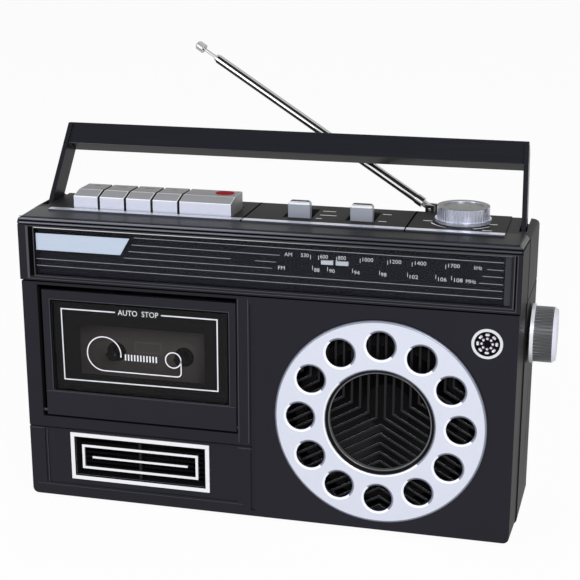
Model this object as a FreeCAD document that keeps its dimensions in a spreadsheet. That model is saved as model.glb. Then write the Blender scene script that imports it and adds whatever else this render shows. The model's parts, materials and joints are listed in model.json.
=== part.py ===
import FreeCAD, Part
import math
import os
import re

import Sketcher

# Portable radio cassette recorder, built as an assembly of separate pieces.
# Frame: origin at the centre of the body's footprint on the surface it stands on,
# +X to the right seen from the front, +Y to the back, +Z up. All lengths are in millimetres.

os.makedirs("parts", exist_ok=True)
doc = FreeCAD.newDocument("radio_cassette_recorder")
sheet = doc.addObject("Spreadsheet::Sheet", "dims")

SIZES = {
    # body shells
    "front_width": "=back_width - 7",
    "seam_width": "=back_width - 4",
    "rear_width": "=back_width - 2.6",
    "back_width": "297",
    "body_depth": "76",
    "body_height": "174.3",
    "foot_height": "2",
    "foot_width": "10",
    "foot_length": "=body_depth - 24",
    "seam_depth": "26",
    "wall": "2.6",
    "front_wall": "3.6",
    "corner_radius": "3.5",
    "upper_raise": "0.5",
    "upper_spread": "0.5",
    "groove_depth": "0.9",
    "side_groove": "0.6",
    "top_groove_one": "=body_height - 2.6",
    "top_groove_two": "=body_height - 4.7",
    "top_groove_width": "0.6",
    "lid_groove_y": "=body_depth - 22",
    "lid_groove_low": "13",
    "lid_groove_high": "80",
    "rear_step_depth": "=body_depth - 11",
    "rear_step_drop": "6",
    "front": "=-body_depth / 2",
    "back": "=body_depth / 2",
    "seam": "=front + seam_depth",
    "base": "=foot_height",
    "top": "=foot_height + body_height",
    "inner_front": "=front + front_wall",
    "foot_x": "=back_width / 2 - 23.5",
    "screw_head_radius": "3",
    "screw_shank_radius": "1.5",
    "screw_length": "12",
    "screw_x": "=back_width / 2 - 10.5",
    # dial
    "dial_left": "=-(front_width / 2 - 9.4)",
    "dial_right": "=front_width / 2 - 5.2",
    "dial_low": "=body_height - 34.5",
    "dial_high": "=body_height - 6",
    "dial_recess": "1",
    "lens_thickness": "1.5",
    "scale_thickness": "1.6",
    "scale_margin": "2.2",
    "pointer_x": "42.2",
    "pointer_width": "15.5",
    "pointer_z": "=body_height - 17.1",
    "pointer_height": "2.4",
    "pointer_gap": "1.3",
    "badge_left": "=dial_left + 0.8",
    "badge_right": "=dial_left + 58.4",
    "badge_slant": "5.8",
    "badge_low": "=body_height - 19.9",
    "badge_high": "=body_height - 9.9",
    "badge_thickness": "0.4",
    "split_z": "=body_height - 38.6",
    "split_width": "1",
    # cassette door and lower panel
    "door_left": "=-(front_width / 2 - 12.2)",
    "door_right": "-14.5",
    "door_low": "=lower_split_z + 8.3",
    "door_high": "=split_z - 5.2",
    "door_gap": "0.7",
    "door_left_gap": "2.8",
    "door_low_gap": "1.3",
    "door_top_gap": "3",
    "door_thickness": "3",
    "door_pin_radius": "1.2",
    "door_pin_length": "2.4",
    "door_axis_y": "=front + 2",
    "door_axis_z": "=base + door_low + 2",
    "window_left": "=door_left + 5.8",
    "window_right": "-19.5",
    "window_low": "=door_low + 16",
    "window_high": "=door_high - 6.5",
    "window_recess": "0.8",
    "window_thickness": "2",
    "cassette_x": "=(window_left + window_right) / 2 + 1.05",
    "cassette_z": "90",
    "cassette_width": "100.4",
    "cassette_height": "63.8",
    "guide_thickness": "2.4",
    "guide_reach": "13",
    "lower_split_z": "44.2",
    "lower_left": "=-(front_width / 2 - 9.6)",
    "lower_right": "-14.4",
    "lower_low": "8",
    "lower_high": "=lower_split_z - 1.4",
    "lower_recess": "0.6",
    "speaker_groove_x": "-5",
    "speaker_groove_width": "2.4",
    # vent
    "vent_x": "=(lower_left + lower_right) / 2 - 0.05",
    "vent_z": "27.3",
    "vent_width": "87.3",
    "vent_height": "30.2",
    "vent_border": "3",
    "vent_ring_width": "73.1",
    "vent_ring_height": "15.5",
    "vent_ring_border": "1.6",
    "vent_bar_length": "60.1",
    "vent_bar_height": "1.4",
    "vent_raise": "0.8",
    "vent_rib": "1.6",
    # speaker
    "speaker_x": "=(front_width / 2 - 5.8) / 2",
    "speaker_z": "=split_z * 0.4893",
    "ring_radius": "=split_z * 0.4477",
    "ring_bore": "31.25",
    "ring_raise": "1.8",
    "ring_collar": "1.6",
    "ring_hole_radius": "8.15",
    "ring_hole_circle": "=(ring_radius + ring_bore) / 2",
    "grille_radius": "=ring_radius - 2.75",
    "grille_opening": "=grille_radius - 2",
    "grille_thickness": "2.4",
    "grille_pitch": "4.8",
    "grille_slot": "3.5",
    "driver_radius": "=grille_opening - 6",
    "driver_neck": "21",
    "driver_depth": "=body_depth - 52",
    "magnet_radius": "24",
    "magnet_depth": "13",
    # microphone
    "mic_x": "=front_width / 2 - 16.7",
    "mic_z": "=split_z - 17.5",
    "mic_radius": "8.65",
    "mic_bore": "6.85",
    "mic_collar": "1",
    "mic_raise": "0.7",
    "mic_slot": "1.5",
    "mic_inner_circle": "3",
    "mic_outer_circle": "5.2",
    # top panels
    "panel_raise": "0.8",
    "panel_left": "=-(front_width / 2 - 11.5)",
    "panel_right": "=front_width / 2 - 11.5",
    "panel_front": "22.2",
    "panel_back": "=body_depth - 12",
    "panel_split_one": "=panel_left + 117.8",
    "panel_split_two": "=panel_right - 55",
    "panel_gap": "0.8",
    "trim_front": "17",
    "trim_raise": "1",
    # keys
    "key_first": "=panel_left + 13.3",
    "key_pitch": "16.4",
    "key_width": "15.05",
    "record_width": "31.1",
    "key_front": "24.2",
    "key_back": "=body_depth - 27",
    "key_low": "=body_height - 4.7",
    "key_edge": "=body_height + 7.9",
    "key_bevel": "33",
    "key_high": "=body_height + 10.3",
    "key_axle_y": "=body_depth - 21",
    "key_axle_z": "=body_height - 8.3",
    "key_axle_radius": "2",
    "key_clearance": "0.9",
    "key_front_clearance": "1.5",
    "record_mark_width": "11",
    "record_mark_depth": "9",
    "record_mark_y": "=key_back - 7",
    # levers
    "lever_one_x": "=(panel_split_one + panel_split_two) / 2 - 16.4",
    "lever_two_x": "=(panel_split_one + panel_split_two) / 2 + 20",
    "lever_width": "13",
    "lever_front": "31.2",
    "lever_depth": "5",
    "lever_round": "2",
    "lever_low": "=body_height - 9.1",
    "lever_high": "=body_height + 10.2",
    "lever_travel": "18",
    "slot_margin": "2.9",
    "slot_clearance": "0.9",
    "lever_clearance": "0.4",
    "switch_height": "7",
    # volume control
    "volume_x": "=panel_right - 26",
    "volume_y": "=body_depth - 31",
    "volume_radius": "14.9",
    "volume_flange": "16",
    "volume_flange_height": "1.9",
    "volume_height": "8.9",
    "volume_dish_radius": "11.5",
    "volume_dish_depth": "0.6",
    "volume_stem_radius": "3",
    "volume_gap": "0.3",
    "pot_radius": "8.5",
    "pot_height": "11",
    "flute_radius": "0.35",
    # tuning control
    "tuning_y": "=body_depth - 32",
    "tuning_z": "=split_z - 23.7",
    "tuning_radius": "16",
    "tuning_flange": "17.2",
    "tuning_length": "14.5",
    "tuning_round": "2",
    "tuning_gap": "0.5",
    "tuning_shaft_radius": "3",
    "tuning_shaft_length": "30",
    "drum_x": "=dial_right - 33.8",
    "drum_z": "=body_height - 37.3",
    "drum_radius": "28.65",
    "drum_thickness": "4",
    "drum_y": "16",
    "tuner_size": "25",
    "fit_clearance": "0.05",
    # tape deck
    "deck_y": "18",
    "deck_plate": "1.6",
    "hub_spacing": "42.5",
    "spindle_radius": "3.2",
    "spindle_front": "8",
    "reel_radius": "10",
    "capstan_x": "=cassette_x + 32.2",
    "capstan_z": "=cassette_z + 25.5",
    "capstan_radius": "1.25",
    "flywheel_radius": "22",
    "wheel_front": "21",
    "wheel_width": "4",
    "motor_x": "=cassette_x - 35.8",
    "motor_pulley_radius": "5",
    "motor_radius": "15",
    "motor_length": "22",
    "belt_thickness": "1.2",
    "belt_clearance": "0.3",
    "roller_radius": "6",
    "head_travel": "4",
    "head_rest": "=cassette_z + cassette_height / 2 + 3.6",
    # inside
    "board_left": "=drum_x - 82",
    "board_right": "=drum_x + 22",
    "board_low": "76",
    "board_high": "=body_height - 28.3",
    "board_y": "=body_depth - 26",
    "board_thickness": "1.6",
    "post_radius": "3",
    "transformer_width": "44",
    "bay_width": "112",
    "bay_height": "54",
    "bay_low": "8.5",
    "bay_front": "=body_depth - 29",
    "bay_wall": "1.6",
    "inlet_x": "=-(back_width / 2 - 38.5)",
    "inlet_z": "84",
    "inlet_width": "17",
    "inlet_height": "9.4",
    "inlet_depth": "11",
    "bay_door_thickness": "2",
    "bay_hinge_radius": "=bay_door_thickness / 2",
    # handle
    "handle_axis_y": "39",
    "handle_axis_z": "=body_height - 13.8",
    "handle_lean": "34.2",
    "handle_reach": "65.6",
    "handle_bar_height": "14",
    "handle_bar_depth": "10.6",
    "handle_arm_depth": "14",
    "handle_arm_thickness": "2.8",
    "handle_half_width": "=back_width / 2 - 5.2",
    "handle_taper": "2.6",
    "handle_slot_inner": "=handle_half_width - 3.3",
    "handle_slot_outer": "=handle_half_width + 0.9",
    "handle_slot_clearance": "0.5",
    "handle_pin_radius": "3",
    # antenna
    "antenna_x": "=panel_right - 47.5",
    "antenna_y": "=body_depth - 6",
    "antenna_z": "=body_height + 1.3",
    "antenna_azimuth": "14.5",
    "antenna_elevation": "28.6",
    "antenna_length": "165.5",
    "antenna_radius": "2.75",
    "antenna_wall": "0.4",
    "antenna_rod_radius": "0.95",
    "antenna_rod_show": "11.5",
    "antenna_tip_radius": "2.9",
    "antenna_tip_length": "5.5",
    "antenna_start": "6",
    "turret_radius": "4.6",
    "turret_width": "7",
    "turret_stem_radius": "2.5",
}

for row, name in enumerate(SIZES, start=1):
    sheet.setAlias(f"A{row}", name)
for row, text in enumerate(SIZES.values(), start=1):
    sheet.set(f"A{row}", text)
doc.recompute()

NAMES = re.compile(r"\b(" + "|".join(sorted(SIZES, key=len, reverse=True)) + r")\b")
AXES = {
    "x": FreeCAD.Rotation(FreeCAD.Vector(0, 1, 0), 90),
    "y": FreeCAD.Rotation(FreeCAD.Vector(1, 0, 0), -90),
    "z": FreeCAD.Rotation(),
}
pieces = []


def formula(text):
    """Point each size name in an expression at its cell in the sheet."""
    return NAMES.sub(r"dims.\1", str(text))


def value(name):
    return float(sheet.get(name))


def bind(item, prop, text):
    item.setExpression(prop, formula(text))


def place(item, x, y, z):
    for prop, text in zip("xyz", (x, y, z)):
        bind(item, f"Placement.Base.{prop}", text)


def box(x, y, z, rotation=None):
    """A block between two limits on each axis."""
    item = doc.addObject("Part::Box", "block")
    if rotation is not None:
        item.Placement = FreeCAD.Placement(FreeCAD.Vector(), rotation)
    for prop, (low, high) in zip(("Length", "Width", "Height"), (x, y, z)):
        bind(item, prop, f"({high}) - ({low})")
    place(item, x[0], y[0], z[0])
    return item


def round_bar(axis, centre, along, radius, end_radius=None):
    """A cylinder, or a cone where an end radius is given, along one axis between two limits."""
    item = doc.addObject("Part::Cylinder" if end_radius is None else "Part::Cone", "round")
    item.Placement = FreeCAD.Placement(FreeCAD.Vector(), AXES[axis])
    bind(item, "Height", f"({along[1]}) - ({along[0]})")
    if end_radius is None:
        bind(item, "Radius", radius)
    else:
        bind(item, "Radius1", radius)
        bind(item, "Radius2", end_radius)
    spot = list(centre)
    spot.insert("xyz".index(axis), along[0])
    place(item, *spot)
    return item


def drafted(half_front, half_back, y, z):
    """A block as wide as its half widths say at its front and at its back."""
    item = doc.addObject("Part::Wedge", "drafted")
    for prop, text in (
        ("Xmin", f"-({half_front})"), ("Xmax", half_front), ("X2min", f"-({half_back})"),
        ("X2max", half_back),
        ("Ymin", y[0]), ("Ymax", y[1]), ("Zmin", z[0]), ("Zmax", z[1]), ("Z2min", z[0]), ("Z2max", z[1]),
    ):
        bind(item, prop, text)
    return item


def cut(base, *tools):
    item = doc.addObject("Part::Cut", "cut")
    item.Base = base
    item.Tool = tools[0] if len(tools) == 1 else fuse(*tools)
    return item


def fuse(*items):
    item = doc.addObject("Part::MultiFuse", "fuse")
    item.Shapes = list(items)
    item.Refine = True
    return item


def round_edges(base, radius, wanted):
    """Fillet the edges that the test picks, each given by its middle point and direction."""
    doc.recompute()
    picked = []
    for number, edge in enumerate(base.Shape.Edges, start=1):
        first = edge.firstVertex().Point
        last = edge.lastVertex().Point
        if wanted((first + last) * 0.5, last - first):
            picked.append((number, value(radius), value(radius)))
    item = doc.addObject("Part::Fillet", "rounded")
    item.Base = base
    item.Edges = picked
    return item


def group(*items):
    item = doc.addObject("Part::Compound", "group")
    item.Links = list(items)
    return item


def prism(points, along, axis="y"):
    """A pad of a polygon: on the XZ plane along Y, or on the YZ plane along X."""
    role = {"y": "XZ_Plane", "x": "YZ_Plane"}[axis]
    body = doc.addObject("PartDesign::Body", "shape")
    plane = next(item for item in body.Origin.OriginFeatures if item.Role == role)
    sketch = body.newObject("Sketcher::SketchObject", "outline")
    sketch.AttachmentSupport = [(plane, "")]
    sketch.MapMode = "FlatFace"
    # a sketch on the XZ plane faces -Y, so its offset and pad are turned round
    offset = along[0] if axis == "x" else f"-({along[0]})"
    bind(sketch, "AttachmentOffset.Base.z", offset)
    doc.recompute()
    count = len(points)
    for number in range(count):
        angle = 2 * math.pi * number / count
        after = 2 * math.pi * (number + 1) / count
        sketch.addGeometry(Part.LineSegment(
            FreeCAD.Vector(math.cos(angle), math.sin(angle), 0),
            FreeCAD.Vector(math.cos(after), math.sin(after), 0),
        ), False)
    for number in range(count):
        sketch.addConstraint(Sketcher.Constraint("Coincident", number, 2, (number + 1) % count, 1))
    for number, (across, up) in enumerate(points):
        for kind, text in (("DistanceX", across), ("DistanceY", up)):
            start = guess(text)
            index = sketch.addConstraint(Sketcher.Constraint(kind, -1, 1, number, 1, start))
            bind(sketch, f"Constraints[{index}]", text)
    pad = body.newObject("PartDesign::Pad", "pad")
    pad.Profile = sketch
    bind(pad, "Length", f"({along[1]}) - ({along[0]})")
    pad.Reversed = axis == "y"
    body.Tip = pad
    return body


def guess(text):
    """The number that an expression gives now, so that a sketch starts close to its solution."""
    probe = doc.addObject("App::FeaturePython", "probe")
    probe.addProperty("App::PropertyFloat", "amount")
    bind(probe, "amount", text)
    probe.recompute()
    amount = probe.amount
    doc.removeObject(probe.Name)
    return amount


def finish(item, name):
    """Name a sub-part and add it to the list of pieces to be written."""
    item.Label = name
    pieces.append((item, name))
    return item


# ---- cabinet shells ----


def front_hole(left, right, low, high, deep="front_wall + 1"):
    """A block that opens the front wall, or sinks into it by the depth given."""
    return box((left, right), ("front - 1", f"front + {deep}"), (f"base + {low}", f"base + {high}"))


def along_depth(middle, run):
    return abs(run.y) > 5 and abs(run.x) < 5 and abs(run.z) < 1


front_outer = fuse(
    round_edges(
        drafted("front_width / 2", "seam_width / 2", ("front", "seam"), ("base", "top")), "corner_radius",
        along_depth
    ),
    round_edges(
        drafted("front_width / 2 + upper_spread", "seam_width / 2 + upper_spread",
                ("front - upper_raise", "seam"),
                ("base + split_z", "top")),
        "corner_radius", lambda middle, run: along_depth(middle, run) and middle.z > value("top") - 1,
    ),
)


def side_groove(half_front, half_back, y, z, groove_y):
    """A shallow groove in both drafted sides of a shell, between the limits on Y and Z."""
    return cut(
        box(("-back_width", "back_width"), groove_y, z),
        drafted(f"{half_front} - side_groove", f"{half_back} - side_groove", y, ("base - 1", "top + 1")),
    )


SPLIT = ("base + split_z - split_width / 2", "base + split_z + split_width / 2")
front_inner = drafted(
    "front_width / 2 - wall", "seam_width / 2 - wall", ("inner_front", "seam + 1"),
    ("base + wall", "top - wall")
)
finish(cut(
    front_outer,
    front_inner,
    front_hole("dial_left", "dial_right", "dial_low", "dial_high"),
    front_hole("door_left - door_left_gap", "door_right + door_gap", "door_low - door_low_gap",
               "door_high + door_top_gap"),
    front_hole("lower_left", "lower_right", "lower_low", "lower_high", "lower_recess"),
    front_hole(
        "vent_x - vent_width / 2 + vent_border", "vent_x + vent_width / 2 - vent_border",
        "vent_z - vent_height / 2 + vent_border", "vent_z + vent_height / 2 - vent_border",
    ),
    front_hole("-front_width / 2 - 1", "front_width / 2 + 1", "split_z - split_width / 2",
               "split_z + split_width / 2", "groove_depth"),
    side_groove("front_width / 2", "seam_width / 2", ("front", "seam"), SPLIT, ("front", "seam")),
    *[
        front_hole("-front_width / 2 - 1", "front_width / 2 + 1", f"{level} - top_groove_width / 2",
                   f"{level} + top_groove_width / 2", "upper_raise")
        for level in ("top_groove_one", "top_groove_two")
    ],
    front_hole("-front_width / 2 - 1", "speaker_groove_x - speaker_groove_width / 2",
               "lower_split_z - split_width / 2", "lower_split_z + split_width / 2", "groove_depth"),
    front_hole("speaker_groove_x - speaker_groove_width / 2", "speaker_groove_x + speaker_groove_width / 2",
               "corner_radius", "door_high", "groove_depth"),
    round_bar("y", ("speaker_x", "base + speaker_z"), ("front - 1", "inner_front + 1"), "grille_opening"),
    round_bar("y", ("mic_x", "base + mic_z"), ("front - 1", "inner_front + 1"), "mic_bore + mic_collar"),
    round_bar("x", ("door_axis_y", "door_axis_z"),
              ("door_left - door_left_gap - door_pin_length", "door_right + door_gap + door_pin_length"),
              "door_pin_radius + fit_clearance"),
    box(("key_first - key_clearance", "key_first + 4 * key_pitch + record_width + key_clearance"),
        ("front + key_front - key_front_clearance", "seam + 1"), ("top - wall - 1", "top + 1")),
), "front_cabinet")

SLOT_LOW = "base + handle_axis_z - handle_arm_depth / 2 - handle_slot_clearance"
rear_outer = round_edges(
    drafted("rear_width / 2", "back_width / 2", ("seam", "back"), ("base", "top")), "corner_radius",
    along_depth
)
POCKET_LOW = "handle_axis_z - handle_arm_depth / 2 - handle_slot_clearance - wall"
rear_cuts = [
    drafted("rear_width / 2 - wall", "back_width / 2 - wall", ("seam - 1", "back - wall"),
            ("base + wall", f"base + {POCKET_LOW}")),
    box(("-(handle_slot_inner - wall)", "handle_slot_inner - wall"), ("seam - 1", "back - wall"),
        (f"base + {POCKET_LOW} - 1", "top - rear_step_drop - wall")),
    box(("-(handle_slot_inner - wall)", "handle_slot_inner - wall"),
        ("seam - 1", "front + rear_step_depth - wall"),
        (f"base + {POCKET_LOW} - 1", "top - wall")),
    box(("-handle_slot_outer", "handle_slot_outer"), ("front + rear_step_depth", "back + 1"),
        ("top - rear_step_drop", "top + 1")),
    *[
        prism([
            ("front + rear_step_depth", "top"), ("back + 1", "top - rear_step_drop"),
            ("back + 1", "top + 1"), ("front + rear_step_depth", "top + 1"),
        ], along, "x")
        for along in (("-back_width", "-handle_slot_outer + 0.1"), ("handle_slot_outer - 0.1", "back_width"))
    ],
    side_groove("rear_width / 2", "back_width / 2", ("seam", "back"), SPLIT, ("seam - 1", "back + 1")),
    side_groove("rear_width / 2", "back_width / 2", ("seam", "back"),
                ("base + lid_groove_low", "base + lid_groove_high"),
                ("front + lid_groove_y", "front + lid_groove_y + split_width")),
    box(("key_first - key_clearance", "key_first + 4 * key_pitch + record_width + key_clearance"),
        ("seam - 1", "front + key_back + key_clearance"), ("top - wall - 1", "top + 1")),
    round_bar("z", ("volume_x", "front + volume_y"), ("top - wall - 1", "top + 1"), "pot_radius + 0.5"),
    round_bar("x", ("front + tuning_y", "base + tuning_z"),
              ("rear_width / 2 - wall - 4", "back_width / 2 + 1"),
              "tuning_shaft_radius + fit_clearance"),
    round_bar("z", ("antenna_x", "front + antenna_y"), ("top - rear_step_drop - wall - 1", "top + 1"),
              "turret_stem_radius + fit_clearance"),
]
for middle in ("lever_one_x", "lever_two_x"):
    rear_cuts.append(box(
        (f"{middle} - lever_width / 2 - slot_margin", f"{middle} + lever_width / 2 + slot_clearance"),
        ("front + lever_front - lever_clearance",
         "front + lever_front + lever_depth + lever_travel + lever_clearance"),
        ("top - wall - 1", "top + 1"),
    ))
for side in (-1, 1):
    if side > 0:
        limits = ("handle_slot_inner", "handle_slot_outer")
    else:
        limits = ("-handle_slot_outer", "-handle_slot_inner")
    rear_cuts.append(box(
        limits,
        ("front + handle_axis_y - handle_arm_depth / 2 - handle_slot_clearance",
         "front + rear_step_depth + 1"),
        (SLOT_LOW, "top + 1"),
    ))
rear_cuts.append(round_bar(
    "x", ("front + handle_axis_y", "base + handle_axis_z"),
    ("-(handle_slot_inner + 1)", "handle_slot_inner + 1"), "handle_pin_radius + fit_clearance",
))
SCREWS = [
    (f"{side} * screw_x", f"base + {height}")
    for side in (-1, 1) for height in ("12", "body_height / 2", "body_height - 30")
]
for x, z in SCREWS:
    rear_cuts.append(round_bar("y", (x, z), ("back - 2", "back + 1"), "screw_head_radius + fit_clearance"))
    rear_cuts.append(round_bar("y", (x, z), ("back - wall - 1", "back"),
                               "screw_shank_radius + fit_clearance"))

BAY = {
    "x": ("-bay_width / 2", "bay_width / 2"),
    "y": ("front + bay_front", "back - wall"),
    "z": ("base + bay_low", "base + bay_low + bay_height"),
}
bay_shell = box(
    ("-bay_width / 2 - bay_wall", "bay_width / 2 + bay_wall"),
    ("front + bay_front - bay_wall", "back - wall"),
    ("base + bay_low - bay_wall", "base + bay_low + bay_height + bay_wall"),
)
bay_hollow = box(BAY["x"], ("front + bay_front", "back + 1"), BAY["z"])
inlet_hollow = box(
    ("inlet_x - inlet_width / 2", "inlet_x + inlet_width / 2"), ("back - wall - 1", "back + 1"),
    ("base + inlet_z - inlet_height / 2", "base + inlet_z + inlet_height / 2"),
)
board_posts = [
    round_bar("y", (x, z), ("front + board_y + board_thickness", "back - wall"), "post_radius")
    for x in ("board_left + 2 * post_radius", "board_right - 2 * post_radius")
    for z in ("base + board_low + 2 * post_radius", "base + board_high - 2 * post_radius")
]
finish(cut(fuse(cut(rear_outer, *rear_cuts), bay_shell, *board_posts), bay_hollow, inlet_hollow),
       "rear_cabinet")

finish(group(*[
    box((f"{side} * foot_x - foot_width / 2", f"{side} * foot_x + foot_width / 2"),
        ("-foot_length / 2", "foot_length / 2"),
        ("0", "foot_height"))
    for side in (-1, 0, 1)
]), "feet")
finish(group(*[
    fuse(
        round_bar("y", (x, z), ("back - 2", "back - 0.4"), "screw_head_radius"),
        round_bar("y", (x, z), ("back - screw_length", "back - 1.9"), "screw_shank_radius"),
    )
    for x, z in SCREWS
]), "case_screws")

# ---- dial ----

finish(box(
    ("dial_left", "dial_right"), ("front + dial_recess", "front + dial_recess + lens_thickness"),
    ("base + dial_low", "base + dial_high"),
), "dial_lens")
scale_plate = box(
    ("dial_left - scale_margin", "dial_right + scale_margin"),
    ("inner_front + 1.4", "inner_front + 1.4 + scale_thickness"),
    ("base + dial_low - scale_margin", "base + dial_high + scale_margin"),
)
scale_ends = [
    box((low, high), ("inner_front", "inner_front + 1.5"),
        ("base + dial_low - scale_margin", "base + dial_high + scale_margin"))
    for low, high in (
        ("dial_left - scale_margin", "dial_left - 0.2"), ("dial_right + 0.2", "dial_right + scale_margin"),
    )
]
finish(fuse(scale_plate, *scale_ends), "dial_scale")
finish(prism([
    ("badge_left", "base + badge_low"),
    ("badge_right - badge_slant", "base + badge_low"),
    ("badge_right", "base + badge_high"),
    ("badge_left", "base + badge_high"),
], ("front + dial_recess - badge_thickness", "front + dial_recess")), "dial_badge")

POINTER_Y = ("front + dial_recess + lens_thickness + 0.5", "inner_front + 0.9")
POINTER_Z = ("base + pointer_z - pointer_height / 2", "base + pointer_z + pointer_height / 2")
pointer_bar = box(("pointer_x - pointer_width / 2", "pointer_x + pointer_width / 2"), POINTER_Y, POINTER_Z)
pointer_notch = box(("pointer_x - pointer_gap / 2", "pointer_x + pointer_gap / 2"),
                    ("front", f"{POINTER_Y[0]} + 0.4"), ("base + dial_low", "base + dial_high"))
pointer_leg = box(
    ("pointer_x - 2", "pointer_x + 2"), (f"{POINTER_Y[0]} + 0.6", "inner_front + 0.9"),
    (POINTER_Z[0], "base + dial_high + 1"),
)
finish(fuse(cut(pointer_bar, pointer_notch), pointer_leg), "dial_pointer")

# ---- cassette door ----

door_plate = box(
    ("door_left", "door_right"), ("front", "front + door_thickness"), ("base + door_low", "base + door_high")
)
door_window = front_hole("window_left", "window_right", "window_low", "window_high", "door_thickness + 1")
door_pins = [
    round_bar("x", ("door_axis_y", "door_axis_z"), along, "door_pin_radius")
    for along in (
        ("door_left - door_left_gap - door_pin_length + 0.2", "door_left + 1"),
        ("door_right - 1", "door_right + door_gap + door_pin_length - 0.2"),
    )
]
door_guides = [
    box(along, ("front + door_thickness - 0.1", "front + door_thickness + guide_reach"),
        ("base + cassette_z - cassette_height / 2", "base + cassette_z + cassette_height / 4"))
    for along in (
        ("cassette_x - cassette_width / 2 - guide_thickness", "cassette_x - cassette_width / 2"),
        ("cassette_x + cassette_width / 2", "cassette_x + cassette_width / 2 + guide_thickness"),
    )
]
door_shelf = box(
    ("cassette_x - cassette_width / 2 - guide_thickness",
     "cassette_x + cassette_width / 2 + guide_thickness"),
    ("front + door_thickness - 0.1", "front + door_thickness + guide_reach"),
    ("base + cassette_z - cassette_height / 2 - guide_thickness", "base + cassette_z - cassette_height / 2"),
)
finish(fuse(cut(door_plate, door_window), *door_pins, *door_guides, door_shelf), "cassette_door")
finish(box(
    ("window_left", "window_right"), ("front + window_recess", "front + window_recess + window_thickness"),
    ("base + window_low", "base + window_high"),
), "cassette_window")

# ---- vent ----


def frame_block(width, height, border, y):
    """A rectangular frame centred on the vent."""
    outer = box((f"vent_x - {width} / 2", f"vent_x + {width} / 2"), y,
                (f"base + vent_z - {height} / 2", f"base + vent_z + {height} / 2"))
    inner = box((f"vent_x - {width} / 2 + {border}", f"vent_x + {width} / 2 - {border}"),
                (f"{y[0]} - 1", f"{y[1]} + 1"),
                (f"base + vent_z - {height} / 2 + {border}", f"base + vent_z + {height} / 2 - {border}"))
    return cut(outer, inner)


finish(frame_block("vent_width", "vent_height", "vent_border",
                   ("front - vent_raise", "front + lower_recess")),
       "vent_frame")
vent_ring = frame_block("vent_ring_width", "vent_ring_height", "vent_ring_border",
                        ("front - vent_raise / 2", "front + 1.4"))
vent_bar = box(
    ("vent_x - vent_bar_length / 2", "vent_x + vent_bar_length / 2"),
    ("front - vent_raise / 2", "front + 1.4"),
    ("base + vent_z - vent_bar_height / 2", "base + vent_z + vent_bar_height / 2"),
)
vent_post = box(
    ("vent_x - vent_rib / 2", "vent_x + vent_rib / 2"), ("front + lower_recess + 0.2", "front + 2.6"),
    ("base + vent_z - vent_height / 2 + vent_border", "base + vent_z + vent_height / 2 - vent_border"),
)
finish(fuse(vent_ring, vent_bar, vent_post), "vent_insert")
vent_back = box(
    ("vent_x - vent_width / 2 + vent_border - 2", "vent_x + vent_width / 2 - vent_border + 2"),
    ("inner_front", "inner_front + 1.2"),
    ("base + vent_z - vent_height / 2 + vent_border - 2",
     "base + vent_z + vent_height / 2 - vent_border + 2"),
)
vent_slots = [
    box(("vent_x - vent_width / 2 + vent_border + 2", "vent_x + vent_width / 2 - vent_border - 2"),
        ("inner_front - 1", "inner_front + 2"),
        (f"base + vent_z + {level} * vent_height / 10 - vent_rib / 2",
         f"base + vent_z + {level} * vent_height / 10 + vent_rib / 2"))
    for level in (-3, -2, -1, 0, 1, 2, 3)
]
vent_stud = box(
    ("vent_x - vent_rib / 2", "vent_x + vent_rib / 2"), ("front + 2.6", "inner_front + 1.2"),
    ("base + vent_z - vent_height / 2 + vent_border", "base + vent_z + vent_height / 2 - vent_border"),
)
finish(fuse(cut(vent_back, *vent_slots), vent_stud), "vent_grille")

# ---- speaker ----

SPEAKER = ("speaker_x", "base + speaker_z")
ring_plate = round_bar("y", SPEAKER, ("front - ring_raise", "front"), "ring_radius")
ring_holes = [
    round_bar("y", (f"speaker_x + ring_hole_circle * cos({30 * turn})",
                    f"base + speaker_z + ring_hole_circle * sin({30 * turn})"),
              ("front - ring_raise - 1", "front + 1"), "ring_hole_radius")
    for turn in range(12)
]
ring_collar = round_bar("y", SPEAKER, ("front - ring_raise", "inner_front"), "ring_bore + ring_collar")
ring_opening = round_bar("y", SPEAKER, ("front - ring_raise - 1", "inner_front + 1"), "ring_bore")
finish(cut(fuse(cut(ring_plate, *ring_holes), ring_collar), ring_opening), "speaker_ring")


def grille_slots():
    """Slots that run along the middle line of each third of the disc, and meet those of the next third."""
    slots = []
    reach = int(value("grille_radius") * math.sin(math.radians(55)) / value("grille_pitch"))
    for turn in (0, 120, 240):
        for step in range(-reach, reach + 1):
            offset = f"({step} * grille_pitch)"
            start = f"(max(0; abs({offset}) - grille_slot / 2) / tan(60))"
            run = f"(sqrt((grille_radius - 3)^2 - {offset}^2) - {start})"
            item = doc.addObject("Part::Box", "slot")
            item.Placement = FreeCAD.Placement(FreeCAD.Vector(),
                                               FreeCAD.Rotation(FreeCAD.Vector(0, 1, 0), turn))
            bind(item, "Length", "grille_slot")
            bind(item, "Width", "grille_thickness + 2")
            bind(item, "Height", run)
            side = f"({offset} - grille_slot / 2)"
            place(item, f"speaker_x + {side} * cos({turn}) + {start} * sin({turn})", "inner_front - 1",
                  f"base + speaker_z - {side} * sin({turn}) + {start} * cos({turn})")
            slots.append(item)
    return slots


finish(cut(round_bar("y", SPEAKER, ("inner_front", "inner_front + grille_thickness"), "grille_radius"),
           *grille_slots()), "speaker_grille")

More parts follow.
